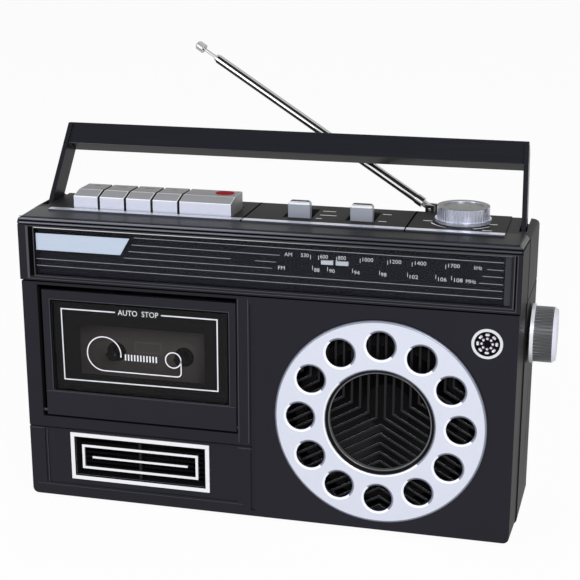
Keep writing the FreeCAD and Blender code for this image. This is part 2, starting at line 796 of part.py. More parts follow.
DRIVER_Y = "inner_front + grille_thickness"
driver_flange = cut(
    round_bar("y", SPEAKER, (DRIVER_Y, f"{DRIVER_Y} + 2"), "driver_radius"),
    round_bar("y", SPEAKER, (f"{DRIVER_Y} - 1", f"{DRIVER_Y} + 3"), "driver_radius - 5"),
)
driver_basket = cut(
    round_bar("y", SPEAKER, (f"{DRIVER_Y} + 2", f"{DRIVER_Y} + 2 + driver_depth"), "driver_radius - 3",
              "driver_neck"),
    round_bar("y", SPEAKER, (f"{DRIVER_Y} + 2", f"{DRIVER_Y} + 2 + driver_depth"), "driver_radius - 5",
              "driver_neck - 2"),
)
driver_magnet = round_bar(
    "y", SPEAKER, (f"{DRIVER_Y} + 2 + driver_depth", f"{DRIVER_Y} + 2 + driver_depth + magnet_depth"),
    "magnet_radius"
)
finish(fuse(driver_flange, driver_basket, driver_magnet), "speaker_frame")
cone_outer = round_bar("y", SPEAKER, (f"{DRIVER_Y} + 1", f"{DRIVER_Y} + 1 + driver_depth - 4"),
                       "driver_radius - 5", "driver_neck - 6")
cone_inner = round_bar("y", SPEAKER, (f"{DRIVER_Y} + 1", f"{DRIVER_Y} + driver_depth - 4"),
                       "driver_radius - 6.2", "driver_neck - 7.2")
cone_coil = round_bar("y", SPEAKER, (f"{DRIVER_Y} + driver_depth - 4", f"{DRIVER_Y} + 2 + driver_depth"),
                      "driver_neck - 8")
finish(fuse(cut(cone_outer, cone_inner), cone_coil), "speaker_cone")

# ---- microphone ----

MIC = ("mic_x", "base + mic_z")
finish(cut(
    fuse(
        round_bar("y", MIC, ("front - mic_raise", "front"), "mic_radius"),
        round_bar("y", MIC, ("front - mic_raise", "inner_front"), "mic_bore + mic_collar"),
    ),
    round_bar("y", MIC, ("front - mic_raise - 1", "inner_front + 1"), "mic_bore"),
), "microphone_bezel")
MIC_FACE = "front - mic_raise / 2"
mic_slots = []
for turn in range(8):
    for ring, spread in (("mic_inner_circle", (0,)), ("mic_outer_circle", (-5, 5))):
        for extra in spread:
            angle = 45 * turn + extra
            mic_slots.append(round_bar(
                "y", (f"mic_x + {ring} * cos({angle})", f"base + mic_z + {ring} * sin({angle})"),
                ("front - 2", f"{MIC_FACE} + mic_slot"), "mic_slot / 2",
            ))
finish(cut(round_bar("y", MIC, (MIC_FACE, "inner_front"), "mic_bore"), *mic_slots), "microphone_grille")

# ---- top panels ----


def panel(left, right, y, rise, *openings):
    plate = box((left, right), (f"front + {y[0]}", f"front + {y[1]}"), ("top", f"top + {rise}"))
    return cut(plate, *openings) if openings else plate


key_opening = box(
    ("key_first - key_clearance", "key_first + 4 * key_pitch + record_width + key_clearance"),
    ("front + key_front - key_front_clearance", "front + key_back + key_clearance"),
    ("top - 1", "top + panel_raise + 1"),
)
lever_openings = [
    box((f"{middle} - lever_width / 2 - slot_margin", f"{middle} + lever_width / 2 + slot_clearance"),
        ("front + lever_front - lever_clearance",
         "front + lever_front + lever_depth + lever_travel + lever_clearance"),
        ("top - 1", "top + panel_raise + 1"))
    for middle in ("lever_one_x", "lever_two_x")
]
volume_opening = round_bar("z", ("volume_x", "front + volume_y"), ("top - 1", "top + panel_raise + 1"),
                           "volume_stem_radius + 0.6")
SPANS = {
    "key": ("panel_left", "panel_split_one - panel_gap / 2", [key_opening]),
    "switch": ("panel_split_one + panel_gap / 2", "panel_split_two - panel_gap / 2", lever_openings),
    "volume": ("panel_split_two + panel_gap / 2", "panel_right", [volume_opening]),
}
for name, (left, right, openings) in SPANS.items():
    finish(panel(left, right, ("panel_front", "panel_back"), "panel_raise", *openings), f"{name}_panel")
finish(group(*[
    panel(left, right, ("trim_front", "panel_front"), "trim_raise")
    for left, right, openings in SPANS.values()
]), "panel_trims")

# ---- keys ----

KEY_PROFILE = [
    ("front + key_front", "base + key_low"),
    ("front + key_axle_y - 8", "base + key_axle_z"),
    ("front + key_axle_y - 4", "base + key_axle_z - 4.5"),
    ("front + key_axle_y + 3", "base + key_axle_z - 4.5"),
    ("front + key_axle_y + 4", "base + key_axle_z"),
    ("front + key_axle_y + 3", "base + key_axle_z + 4.4"),
    ("front + key_back", "base + key_axle_z + 4.4"),
    ("front + key_back", "base + key_high"),
    ("front + key_bevel", "base + key_high"),
    ("front + key_front", "base + key_edge"),
]


def key(name, left, width):
    blank = prism(KEY_PROFILE, (left, f"{left} + {width}"), "x")
    bore = round_bar("x", ("front + key_axle_y", "base + key_axle_z"),
                     (f"{left} - 1", f"{left} + {width} + 1"),
                     "key_axle_radius + fit_clearance")
    return finish(cut(blank, bore), name)


for number, name in enumerate(("stop_key", "forward_key", "rewind_key", "play_key")):
    key(name, f"key_first + {number} * key_pitch", "key_width")
key("record_key", "key_first + 4 * key_pitch", "record_width")
MARK_X = "key_first + 4 * key_pitch + 0.72 * record_width"
MARK_Z = ("base + key_high", "base + key_high + 0.3")
mark_ends = [
    round_bar("z",
              (f"{MARK_X} + {side} * (record_mark_width - record_mark_depth) / 2", "front + record_mark_y"),
              MARK_Z, "record_mark_depth / 2")
    for side in (-1, 1)
]
mark_middle = box(
    (f"{MARK_X} - (record_mark_width - record_mark_depth) / 2",
     f"{MARK_X} + (record_mark_width - record_mark_depth) / 2"),
    ("front + record_mark_y - record_mark_depth / 2", "front + record_mark_y + record_mark_depth / 2"),
    MARK_Z,
)
finish(fuse(*mark_ends, mark_middle), "record_mark")
AXLE_X = ("key_first - 4", "key_first + 4 * key_pitch + record_width + 4")
finish(round_bar("x", ("front + key_axle_y", "base + key_axle_z"), AXLE_X, "key_axle_radius"), "key_axle")

# ---- levers ----

for name, middle in (("function_lever", "lever_one_x"), ("band_lever", "lever_two_x")):
    cap = round_edges(
        box((f"{middle} - lever_width / 2", f"{middle} + lever_width / 2"),
            ("front + lever_front", "front + lever_front + lever_depth"),
            ("top - wall", "base + lever_high")),
        "lever_round", lambda spot, run: abs(run.y) > 1 and spot.z > value("top") + 1,
    )
    stem = box((f"{middle} - lever_width / 4", f"{middle} + lever_width / 4"),
               ("front + lever_front + 1", "front + lever_front + lever_depth - 1"),
               ("base + lever_low", "top - wall"))
    finish(fuse(cap, stem), name)
finish(group(*[
    box((f"{middle} - lever_width / 2", f"{middle} + lever_width / 2"),
        ("front + lever_front - 2", "front + lever_front + lever_depth + lever_travel + 2"),
        ("base + lever_low - 0.2 - switch_height", "base + lever_low - 0.2"))
    for middle in ("lever_one_x", "lever_two_x")
]), "slide_switches")

# ---- volume control ----

VOLUME = ("volume_x", "front + volume_y")
VOLUME_Z = "top + panel_raise + volume_gap"
POT_Z = ("top - wall - pot_height", "top")
knob_body = round_bar("z", VOLUME, (VOLUME_Z, f"{VOLUME_Z} + volume_height"), "volume_radius")
knob_flutes = [
    round_bar("z", (f"volume_x + (volume_radius + flute_radius / 2) * cos({turn * 7.5})",
                    f"front + volume_y + (volume_radius + flute_radius / 2) * sin({turn * 7.5})"),
              (f"{VOLUME_Z} + volume_flange_height", f"{VOLUME_Z} + volume_height - 1"), "flute_radius")
    for turn in range(48)
]
knob_flange = round_bar("z", VOLUME, (VOLUME_Z, f"{VOLUME_Z} + volume_flange_height"), "volume_flange")
knob_stem = round_bar("z", VOLUME, ("top - pot_height / 2", VOLUME_Z), "volume_stem_radius")
knob_dish = round_bar("z", VOLUME,
                      (f"{VOLUME_Z} + volume_height - volume_dish_depth", f"{VOLUME_Z} + volume_height + 1"),
                      "volume_dish_radius")
finish(fuse(cut(knob_body, *knob_flutes, knob_dish), knob_flange, knob_stem), "volume_knob")
finish(cut(
    round_bar("z", VOLUME, POT_Z, "pot_radius"),
    round_bar("z", VOLUME, ("top - pot_height / 2 - 0.3", "top + 1"), "volume_stem_radius + fit_clearance"),
), "volume_control")

# ---- tuning control ----

TUNING = ("front + tuning_y", "base + tuning_z")
TUNING_X = "back_width / 2 + tuning_gap"
tuning_flange = round_bar("x", TUNING, (TUNING_X, f"{TUNING_X} + 2"), "tuning_flange")
tuning_body = fuse(
    round_bar("x", TUNING, (f"{TUNING_X} + 1.9", f"{TUNING_X} + tuning_length - tuning_round"),
              "tuning_radius"),
    round_bar("x", TUNING, (f"{TUNING_X} + tuning_length - tuning_round", f"{TUNING_X} + tuning_length"),
              "tuning_radius", "tuning_radius - 0.7 * tuning_round"),
)
tuning_flutes = [
    round_bar("x", (f"front + tuning_y + (tuning_radius + flute_radius / 2) * cos({turn * 7.5})",
                    f"base + tuning_z + (tuning_radius + flute_radius / 2) * sin({turn * 7.5})"),
              (f"{TUNING_X} + 2", f"{TUNING_X} + tuning_length - tuning_round - 1"), "flute_radius")
    for turn in range(48)
]
finish(fuse(cut(tuning_body, *tuning_flutes), tuning_flange), "tuning_knob")
finish(round_bar("x", TUNING, (f"{TUNING_X} - tuning_shaft_length", TUNING_X), "tuning_shaft_radius"),
       "tuning_shaft")

DRUM = ("drum_x", "base + drum_z")
drum_disc = round_bar("y", DRUM, ("front + drum_y", "front + drum_y + drum_thickness"), "drum_radius")
drum_groove = cut(
    round_bar("y", DRUM,
              ("front + drum_y + drum_thickness / 2 - 0.6", "front + drum_y + drum_thickness / 2 + 0.6"),
              "drum_radius + 1"),
    round_bar("y", DRUM, ("front + drum_y", "front + drum_y + drum_thickness"), "drum_radius - 1"),
)
drum_stem = round_bar("y", DRUM, ("front + drum_y", "front + drum_y + drum_thickness + 8"),
                      "tuning_shaft_radius")
finish(fuse(cut(drum_disc, drum_groove), drum_stem), "tuning_drum")
TUNER_Y = "front + drum_y + drum_thickness + 1"
finish(cut(
    box(("drum_x - tuner_size / 2", "drum_x + tuner_size / 2"), (TUNER_Y, "front + board_y"),
        ("base + drum_z - tuner_size / 2", "base + drum_z + tuner_size / 2")),
    round_bar("y", DRUM, (f"{TUNER_Y} - 1", f"{TUNER_Y} + 8"), "tuning_shaft_radius + fit_clearance"),
), "tuning_capacitor")

# ---- tape deck ----

PLATE_Y = ("front + deck_y", "front + deck_y + deck_plate")
DECK_LOW = "base + cassette_z - cassette_height / 2 - 6"
HUBS = {"supply_spindle": "cassette_x - hub_spacing / 2", "takeup_spindle": "cassette_x + hub_spacing / 2"}
deck_plate = box(AXLE_X, PLATE_Y, (DECK_LOW, "base + key_axle_z + 4"))
deck_arms = [
    box(along, (PLATE_Y[0], "front + key_axle_y + 4"), ("base + key_axle_z - 6", "base + key_axle_z + 4"))
    for along in ((f"{AXLE_X[0]}", f"{AXLE_X[0]} + 1.6"), (f"{AXLE_X[1]} - 1.6", f"{AXLE_X[1]}"))
]
deck_cuts = [
    round_bar("y", (middle, "base + cassette_z"), (f"{PLATE_Y[0]} - 1", f"{PLATE_Y[1]} + 1"),
              "2 + fit_clearance")
    for middle in HUBS.values()
] + [
    round_bar("y", ("capstan_x", "base + capstan_z"), (f"{PLATE_Y[0]} - 1", f"{PLATE_Y[1]} + 1"),
              "capstan_radius + fit_clearance"),
    round_bar("x", ("front + key_axle_y", "base + key_axle_z"), (f"{AXLE_X[0]} - 1", f"{AXLE_X[1]} + 1"),
              "key_axle_radius"),
    box(("key_first - 1", "key_first + 4 * key_pitch + record_width + 1"),
        (f"{PLATE_Y[0]} - 1", f"{PLATE_Y[1]} + 1"),
        ("base + head_rest + 22", "base + key_axle_z + 5")),
]
finish(cut(fuse(deck_plate, *deck_arms), *deck_cuts), "deck_chassis")

for name, middle in HUBS.items():
    spot = (middle, "base + cassette_z")
    reel = round_bar("y", spot, ("front + deck_y - 1.8", "front + deck_y - 0.3"), "reel_radius")
    post = round_bar("y", spot, ("front + spindle_front", "front + deck_y - 0.3"), "spindle_radius")
    pin = round_bar("y", spot, ("front + deck_y - 0.4", "front + deck_y + deck_plate + 0.8"), "2")
    fins = [
        box((f"{middle} - 0.6", f"{middle} + 0.6"), ("front + spindle_front + 1", "front + deck_y - 1.8"),
            ("base + cassette_z", "base + cassette_z + spindle_radius + 1.2")),
        box((f"{middle} - spindle_radius - 1.2", f"{middle} + spindle_radius + 1.2"),
            ("front + spindle_front + 1", "front + deck_y - 1.8"),
            ("base + cassette_z - 0.6", "base + cassette_z + 0.6")),
    ]
    finish(fuse(reel, post, pin, *fins), name)

CAPSTAN = ("capstan_x", "base + capstan_z")
WHEEL_Y = ("front + wheel_front", "front + wheel_front + wheel_width")
finish(fuse(
    round_bar("y", CAPSTAN, WHEEL_Y, "flywheel_radius"),
    round_bar("y", CAPSTAN, ("front + spindle_front", WHEEL_Y[1]), "capstan_radius"),
), "flywheel")
MOTOR = ("motor_x", "base + capstan_z")
finish(fuse(
    round_bar("y", MOTOR, WHEEL_Y, "motor_pulley_radius"),
    round_bar("y", MOTOR, (WHEEL_Y[1], f"{WHEEL_Y[1]} + 6"), "1"),
), "motor_pulley")
MOTOR_Y = (f"{WHEEL_Y[1]} + 2", f"{WHEEL_Y[1]} + 2 + motor_length")
motor_feet = box(
    ("motor_x - motor_radius - 2", "motor_x + motor_radius"), (PLATE_Y[1], MOTOR_Y[1]),
    ("base + capstan_z + motor_radius - 0.5", "base + capstan_z + motor_radius + 1.5"),
)
finish(cut(
    fuse(round_bar("y", MOTOR, MOTOR_Y, "motor_radius"), motor_feet),
    round_bar("y", MOTOR, (f"{MOTOR_Y[0]} - 1", f"{MOTOR_Y[0]} + 5"), "1 + fit_clearance"),
), "deck_motor")

BELT_COS = "((flywheel_radius - motor_pulley_radius) / (capstan_x - motor_x))"
BELT_SIN = f"sqrt(1 - {BELT_COS}^2)"


def belt_hull(extra, y):
    """The space inside a belt that runs round the flywheel and the motor pulley."""
    big = f"(flywheel_radius + {extra})"
    small = f"(motor_pulley_radius + {extra})"
    corners = [
        (f"capstan_x - {big} * {BELT_COS}", f"base + capstan_z - {big} * {BELT_SIN}"),
        (f"capstan_x - {big} * {BELT_COS}", f"base + capstan_z + {big} * {BELT_SIN}"),
        (f"motor_x - {small} * {BELT_COS}", f"base + capstan_z + {small} * {BELT_SIN}"),
        (f"motor_x - {small} * {BELT_COS}", f"base + capstan_z - {small} * {BELT_SIN}"),
    ]
    return fuse(round_bar("y", CAPSTAN, y, big), round_bar("y", MOTOR, y, small), prism(corners, y))


BELT_Y = (f"{WHEEL_Y[0]} + 1", f"{WHEEL_Y[1]} - 1")
finish(cut(
    belt_hull("belt_clearance + belt_thickness", BELT_Y),
    belt_hull("belt_clearance", (f"{BELT_Y[0]} - 1", f"{BELT_Y[1]} + 1")),
), "drive_belt")

HEAD_Z = "base + head_rest"
BRIDGE_Y = ("front + deck_y - 2.1", "front + deck_y - 0.5")
bridge_plate = box(("cassette_x - 36", "capstan_x + 10"), BRIDGE_Y, (HEAD_Z, f"{HEAD_Z} + 14"))
heads = [
    box((f"{middle} - {half}", f"{middle} + {half}"), ("front + spindle_front", BRIDGE_Y[1]),
        (HEAD_Z, f"{HEAD_Z} + 9"))
    for middle, half in (("cassette_x", 6), ("cassette_x - 22", 4))
]
roller_pin = round_bar("y", ("capstan_x", f"{HEAD_Z} + 3"), ("front + spindle_front", BRIDGE_Y[1]), "1.5")
finish(fuse(bridge_plate, *heads, roller_pin), "head_bridge")
finish(cut(
    round_bar("y", ("capstan_x", f"{HEAD_Z} + 3"), ("front + spindle_front + 0.5", f"{BRIDGE_Y[0]} - 0.3"),
              "roller_radius"),
    round_bar("y", ("capstan_x", f"{HEAD_Z} + 3"), ("front", f"{BRIDGE_Y[0]}"), "1.5 + fit_clearance"),
), "pinch_roller")

# ---- electrical parts ----

finish(box(("board_left", "board_right"), ("front + board_y", "front + board_y + board_thickness"),
           ("base + board_low", "base + board_high")), "main_board")
finish(fuse(
    box(("-bay_width / 2 - bay_wall - 6 - transformer_width", "-bay_width / 2 - bay_wall - 6"),
        ("front + bay_front", "back - wall"), ("base + wall", "base + wall + transformer_width * 0.8")),
    box(("-bay_width / 2 - bay_wall - 1 - transformer_width", "-bay_width / 2 - bay_wall - 11"),
        ("front + bay_front - 5", "back - wall"),
        ("base + wall + 6", "base + wall + transformer_width * 0.8 - 6")),
), "power_transformer")
finish(group(*[
    box(along, ("front + bay_front + 4", "back - wall - 4"),
        (f"base + bay_low + {row} * bay_height / 2 + 4", f"base + bay_low + {row + 1} * bay_height / 2 - 4"))
    for row in (0, 1)
    for along in (("-bay_width / 2", "-bay_width / 2 + 0.6"), ("bay_width / 2 - 0.6", "bay_width / 2"))
]), "battery_contacts")
inlet_box = box(
    ("inlet_x - inlet_width / 2 - 1.5", "inlet_x + inlet_width / 2 + 1.5"),
    ("back - wall - inlet_depth", "back - wall"),
    ("base + inlet_z - inlet_height / 2 - 1.5", "base + inlet_z + inlet_height / 2 + 1.5"),
)
inlet_socket = box(
    ("inlet_x - inlet_width / 2", "inlet_x + inlet_width / 2"), ("back - inlet_depth", "back"),
    ("base + inlet_z - inlet_height / 2", "base + inlet_z + inlet_height / 2"),
)
inlet_pins = [
    round_bar("y", (f"inlet_x + {side} * 4.3", "base + inlet_z"),
              ("back - wall - inlet_depth + 0.5", "back - 5"), "1.2")
    for side in (-1, 1)
]
finish(fuse(cut(inlet_box, inlet_socket), *inlet_pins), "mains_inlet")
COVER_X = ("-bay_width / 2 + 0.4", "bay_width / 2 - 0.4")
bay_cover = box(COVER_X, ("back - bay_door_thickness", "back"),
                ("base + bay_low + 0.4 + bay_hinge_radius", "base + bay_low + bay_height - 0.4"))
bay_knuckle = round_bar("x", ("back - bay_hinge_radius", "base + bay_low + 0.4 + bay_hinge_radius"), COVER_X,
                        "bay_hinge_radius")
finish(fuse(bay_cover, bay_knuckle), "battery_door")

# ---- handle ----

LEAN = FreeCAD.Rotation(FreeCAD.Vector(1, 0, 0), -value("handle_lean"))
OUTER_TOP = "(handle_half_width - handle_taper)"
BAR_LOW = "(handle_reach - handle_bar_height)"
ARM_X = "(handle_half_width - handle_arm_thickness)"


def arm(side):
    corners = [
        (f"{side} * handle_half_width", "0"),
        (f"{side} * handle_half_width", "handle_reach / 4"),
        (f"{side} * {OUTER_TOP}", "handle_reach - 1"),
        (f"{side} * ({OUTER_TOP} - handle_arm_thickness)", "handle_reach - 1"),
        (f"{side} * {ARM_X}", "handle_reach / 4"),
        (f"{side} * {ARM_X}", "0"),
    ]
    return prism(corners, ("-handle_arm_depth / 2", "handle_arm_depth / 2"))


def eye(side, radius, near, far):
    """A round piece on the handle's axis, between two distances from the middle."""
    low, high = (near, far) if side > 0 else (f"-({far})", f"-({near})")
    return round_bar("x", ("0", "0"), (low, high), radius)


handle_bar = box((f"-{OUTER_TOP}", OUTER_TOP), ("-handle_bar_depth / 2", "handle_bar_depth / 2"),
                 (BAR_LOW, "handle_reach"))
handle_parts = [handle_bar]
for side in (-1, 1):
    handle_parts.append(arm(side))
    handle_parts.append(eye(side, "handle_arm_depth / 2", ARM_X, "handle_half_width"))
    handle_parts.append(eye(side, "handle_pin_radius", "handle_slot_inner - wall + 0.2", f"{ARM_X} + 1"))
handle = fuse(*handle_parts)
handle.Placement = FreeCAD.Placement(FreeCAD.Vector(), LEAN)
place(handle, "0", "front + handle_axis_y", "base + handle_axis_z")
finish(handle, "handle")

# ---- antenna ----

TURN = FreeCAD.Rotation(FreeCAD.Vector(0, 0, 1), -value("antenna_azimuth"))
RAISE = TURN.multiply(FreeCAD.Rotation(FreeCAD.Vector(0, 1, 0), value("antenna_elevation")))


def on_antenna(item, name, rotation=RAISE, height="base + antenna_z"):
    """Turn a piece that is drawn about the antenna's pivot, pointing to -X, into place."""
    item.Placement = FreeCAD.Placement(FreeCAD.Vector(), rotation)
    place(item, "antenna_x", "front + antenna_y", height)
    return finish(item, name)


def tube(outer, inner, start, length):
    """A tube that points to -X, from a start to an end distance."""
    item = round_bar("x", ("0", "0"), (f"-({start}) - ({length})", f"-({start})"), outer)
    if inner is None:
        return item
    return cut(item, round_bar("x", ("0", "0"), (f"-({start}) - ({length}) - 1", f"-({start}) + 1"), inner))


STEP_Z = "(top - rear_step_drop - base - antenna_z)"
turret_foot = round_bar("z", ("0", "0"), (f"{STEP_Z} + 0.1", f"{STEP_Z} + 2"), "turret_radius")
turret_stem = round_bar("z", ("0", "0"), (f"{STEP_Z} - wall - 2", f"{STEP_Z} + 1"), "turret_stem_radius")
turret_block = box(("-turret_radius * 0.6", "turret_radius * 0.6"), ("-turret_width / 2", "turret_width / 2"),
                   (f"{STEP_Z} + 1", "2.6"))
turret_slot = box(("-turret_radius", "turret_radius"), ("-1.3", "1.3"), (f"{STEP_Z} + 2.6", "3"))
turret_bore = round_bar("y", ("0", "0"), ("-turret_width", "turret_width"), "1 + fit_clearance")
on_antenna(cut(fuse(turret_foot, turret_stem, turret_block), turret_slot, turret_bore), "antenna_turret",
           TURN)

tongue = box(("-antenna_start - 1", "1.2"), ("-1.1", "1.1"), ("-1.8", "1.8"))
tongue_round = round_bar("y", ("0", "0"), ("-1.1", "1.1"), "2.3")
tongue_pin = round_bar("y", ("0", "0"), ("-turret_width / 2 + 0.1", "turret_width / 2 - 0.1"), "1")
ferrule = round_bar("x", ("0", "0"), ("-antenna_start - 5", "-antenna_start"), "antenna_radius + 0.35")
on_antenna(fuse(tongue, tongue_round, tongue_pin, ferrule), "antenna_elbow")

STAGES = ("antenna_tube", "antenna_middle")
for number, name in enumerate(STAGES):
    outer = f"antenna_radius - {number} * (antenna_wall + fit_clearance)"
    on_antenna(tube(outer, f"{outer} - antenna_wall", f"antenna_start + 5 + {number} * 2",
                    f"antenna_length - antenna_start - 5 - {number} * 2 + {number} * 1.5"), name)
rod = tube("antenna_rod_radius", None, "antenna_start + 12",
           "antenna_length - antenna_start - 12 + antenna_rod_show")
piston = tube("antenna_radius - 2 * (antenna_wall + fit_clearance)", None, "antenna_start + 12", "4")
on_antenna(fuse(rod, piston), "antenna_rod")
button = tube("antenna_tip_radius", None, "antenna_length + antenna_rod_show", "antenna_tip_length - 1")
TIP_END = "(antenna_length + antenna_rod_show + antenna_tip_length)"
button_end = round_bar("x", ("0", "0"), (f"-{TIP_END}", f"-{TIP_END} + 1"), "antenna_tip_radius - 0.7",
                       "antenna_tip_radius")
on_antenna(fuse(button, button_end), "antenna_tip")

# ---- check and write every piece ----

doc.recompute()
for item in doc.Objects:
    if "Invalid" in item.State or "Error" in item.State:
        raise RuntimeError(f"{item.Name} ({item.Label}) is in error: {item.State}")
for item, name in pieces:
    shape = item.Shape
    if shape.isNull() or not shape.isValid() or not shape.Solids:
        raise RuntimeError(f"{name} has no valid solid")
    shape.exportStep(f"parts/{name}.step")
    limits = shape.BoundBox
    print(f"{name:20s} solids {len(shape.Solids)} volume {shape.Volume:10.1f} "
          f"x {limits.XMin:.1f} {limits.XMax:.1f} y {limits.YMin:.1f} {limits.YMax:.1f} "
          f"z {limits.ZMin:.1f} {limits.ZMax:.1f}")
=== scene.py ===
import json
import math

import bmesh
import bpy
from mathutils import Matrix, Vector


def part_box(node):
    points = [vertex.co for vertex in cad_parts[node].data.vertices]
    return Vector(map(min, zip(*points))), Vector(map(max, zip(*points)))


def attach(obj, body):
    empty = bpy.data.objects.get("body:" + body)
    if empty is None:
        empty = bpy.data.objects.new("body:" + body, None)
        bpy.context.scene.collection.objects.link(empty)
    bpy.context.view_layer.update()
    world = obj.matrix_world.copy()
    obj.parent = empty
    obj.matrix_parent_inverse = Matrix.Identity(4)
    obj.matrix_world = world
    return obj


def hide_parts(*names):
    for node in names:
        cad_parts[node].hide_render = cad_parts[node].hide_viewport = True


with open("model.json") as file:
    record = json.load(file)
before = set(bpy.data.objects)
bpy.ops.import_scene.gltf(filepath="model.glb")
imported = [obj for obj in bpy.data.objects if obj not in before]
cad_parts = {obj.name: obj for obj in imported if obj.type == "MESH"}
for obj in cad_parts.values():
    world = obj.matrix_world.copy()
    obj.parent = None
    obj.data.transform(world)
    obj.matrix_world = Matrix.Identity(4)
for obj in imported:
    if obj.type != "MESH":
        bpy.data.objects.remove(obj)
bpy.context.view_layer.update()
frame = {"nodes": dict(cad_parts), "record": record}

# ---- Cabinet shells ----
# Two injection-moulded halves in charcoal plastic, held by six screws from behind.
# The grain is fine and even, every edge has a small moulded radius, and grooves run across the front.

MM = 0.001


class Field:
    """A shader value, so that maths on it reads as arithmetic."""

    def __init__(self, graph, socket):
        self.graph = graph
        self.socket = socket

    def maths(self, kind, *others):
        return self.graph.node("ShaderNodeMath", operation=kind, inputs=(self, *others))

    def __add__(self, other):
        return self.maths("ADD", other)

    __radd__ = __add__

    def __mul__(self, other):
        return self.maths("MULTIPLY", other)

    __rmul__ = __mul__

    def __sub__(self, other):
        return self.maths("SUBTRACT", other)

    def __rsub__(self, other):
        return self.maths("MULTIPLY", -1) + other


class Graph:
    """The nodes of a material or of the world."""

    def __init__(self, tree):
        self.tree = tree

    def node(self, kind, output=0, inputs=(), **settings):
        """Any new node: settings are its properties, inputs go to its sockets by place or by name."""
        item = self.tree.nodes.new(kind)
        for key, value in settings.items():
            setattr(item, key, value)
        pairs = inputs.items() if isinstance(inputs, dict) else enumerate(inputs)
        for key, value in pairs:
            if isinstance(value, Field):
                self.tree.links.new(value.socket, item.inputs[key])
            else:
                item.inputs[key].default_value = value
        return Field(self, item.outputs[output])

    def lead(self, field, name, socket):
        """Lead a field to a socket of a node that is already there."""
        self.tree.links.new(field.socket, self.tree.nodes[name].inputs[socket])


class Paint(Graph):
    """A node material built round one Principled shader."""

    def __init__(self, name, color, roughness, metallic=0.0, coat=0.0, coat_roughness=0.1, alpha=1.0,
                 specular=0.5):
        self.material = bpy.data.materials.new(name)
        self.material.use_nodes = True
        super().__init__(self.material.node_tree)
        self.color = (*color, 1.0)
        self.roughness = roughness
        shader = self.tree.nodes["Principled BSDF"]
        self.shader = Field(self, shader.outputs[0])
        for socket, value in (
            ("Base Color", self.color), ("Roughness", roughness), ("Metallic", metallic),
            ("Coat Weight", coat), ("Coat Roughness", coat_roughness), ("Alpha", alpha),
            ("Specular IOR Level", specular),
        ):
            shader.inputs[socket].default_value = value

    def place(self, stretch=(1, 1, 1)):
        """Object coordinates, stretched along the axes."""
        spot = self.node("ShaderNodeTexCoord", "Object")
        return self.node("ShaderNodeVectorMath", operation="MULTIPLY", inputs=(spot, stretch))

    def along(self, axis, start, end):
        """A field that goes from 0 to 1 between two places along an axis."""
        spot = self.node("ShaderNodeTexCoord", "Object")
        part = self.node("ShaderNodeSeparateXYZ", "XYZ".index(axis), inputs=(spot,))
        return self.node("ShaderNodeMapRange", inputs={"Value": part, "From Min": start, "From Max": end})

    def noise(self, scale, detail=2.0, stretch=(1, 1, 1)):
        return self.node("ShaderNodeTexNoise",
                         inputs={"Vector": self.place(stretch), "Scale": scale, "Detail": detail})

    def tint(self, field, other, amount=1.0):
        """Vary the colour between its own and another one as the field goes from 0 to 1."""
        factor, own_color, other_color, mixed_color = 0, 6, 7, 2
        mixed = self.node("ShaderNodeMix", mixed_color, data_type="RGBA", inputs={
            factor: field * amount, own_color: self.color, other_color: (*other, 1.0)})
        self.lead(mixed, "Principled BSDF", "Base Color")

    def wear(self, field, amount):
        self.lead((field - 0.5) * amount + self.roughness, "Principled BSDF", "Roughness")

    def bump(self, field, strength, distance):
        normal = self.node("ShaderNodeBump",
                           inputs={"Strength": strength, "Distance": distance, "Height": field})
        self.lead(normal, "Principled BSDF", "Normal")


CLOUD_SCALE = 14.0
GRAIN_SCALE = 1500.0
GRAIN_DEPTH = 0.06 * MM


def plastic(name, color, roughness, grain=0.1, specular=0.22, **settings):
    """Moulded plastic: a fine grain, slow changes of gloss and a slight change of tone."""
    paint = Paint(name, color, roughness, specular=specular, **settings)
    cloud = paint.noise(CLOUD_SCALE, 3.0)
    paint.wear(cloud, 0.12)
    paint.tint(cloud, tuple(channel * 1.35 for channel in color))
    paint.bump(paint.noise(GRAIN_SCALE), grain, GRAIN_DEPTH)
    return paint


def finish_form(form, mesh, bevel, segments, sharp, clamp=True, profile=0.6):
    """Round the sharp edges by the width given and shade the rest as smooth."""
    if bevel:
        edges = [edge for edge in form.edges if len(edge.link_faces) == 2
                 and edge.calc_face_angle(0) > math.radians(sharp)]
        bmesh.ops.bevel(form, geom=edges, offset=bevel, segments=segments, profile=profile, affect="EDGES",
                        clamp_overlap=clamp)
    for face in form.faces:
        face.smooth = True
    form.to_mesh(mesh)
    form.free()
    mesh.set_sharp_from_angle(angle=math.radians(sharp))


def add_piece(name, mesh, paint, body, slot, weighted=True):
    """Put a mesh in the scene with its material, riding on a body of the frame."""
    piece = bpy.data.objects.new(name, mesh)
    bpy.context.scene.collection.objects.link(piece)
    mesh.materials.clear()
    mesh.materials.append(paint.material)
    if weighted:
        normals = piece.modifiers.new("normals", "WEIGHTED_NORMAL")
        normals.keep_sharp = True
        normals.weight = 80
    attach(piece, body)
    return piece


def add_mesh(name, verts, faces, paint, body, slot, sharp=35.0, bevel=0.0):
    """A piece from a list of points and faces, with its edges rounded by the width given."""
    mesh = bpy.data.meshes.new(name)
    mesh.from_pydata(verts, [], faces)
    form = bmesh.new()
    form.from_mesh(mesh)
    bmesh.ops.recalc_face_normals(form, faces=form.faces)
    finish_form(form, mesh, bevel, 2, sharp)
    return add_piece(name, mesh, paint, body, slot)


def body_of(node):
    bodies = frame["record"]["behaviour"]["bodies"]
    return next(name for name, nodes in bodies.items() if node in nodes)


def slot_of(node):
    return next(row["material_slot"] for row in frame["record"]["subparts"] if row["node"] == node)


MERGE_DISTANCE = 2e-6
FLAT_ANGLE = math.radians(0.6)


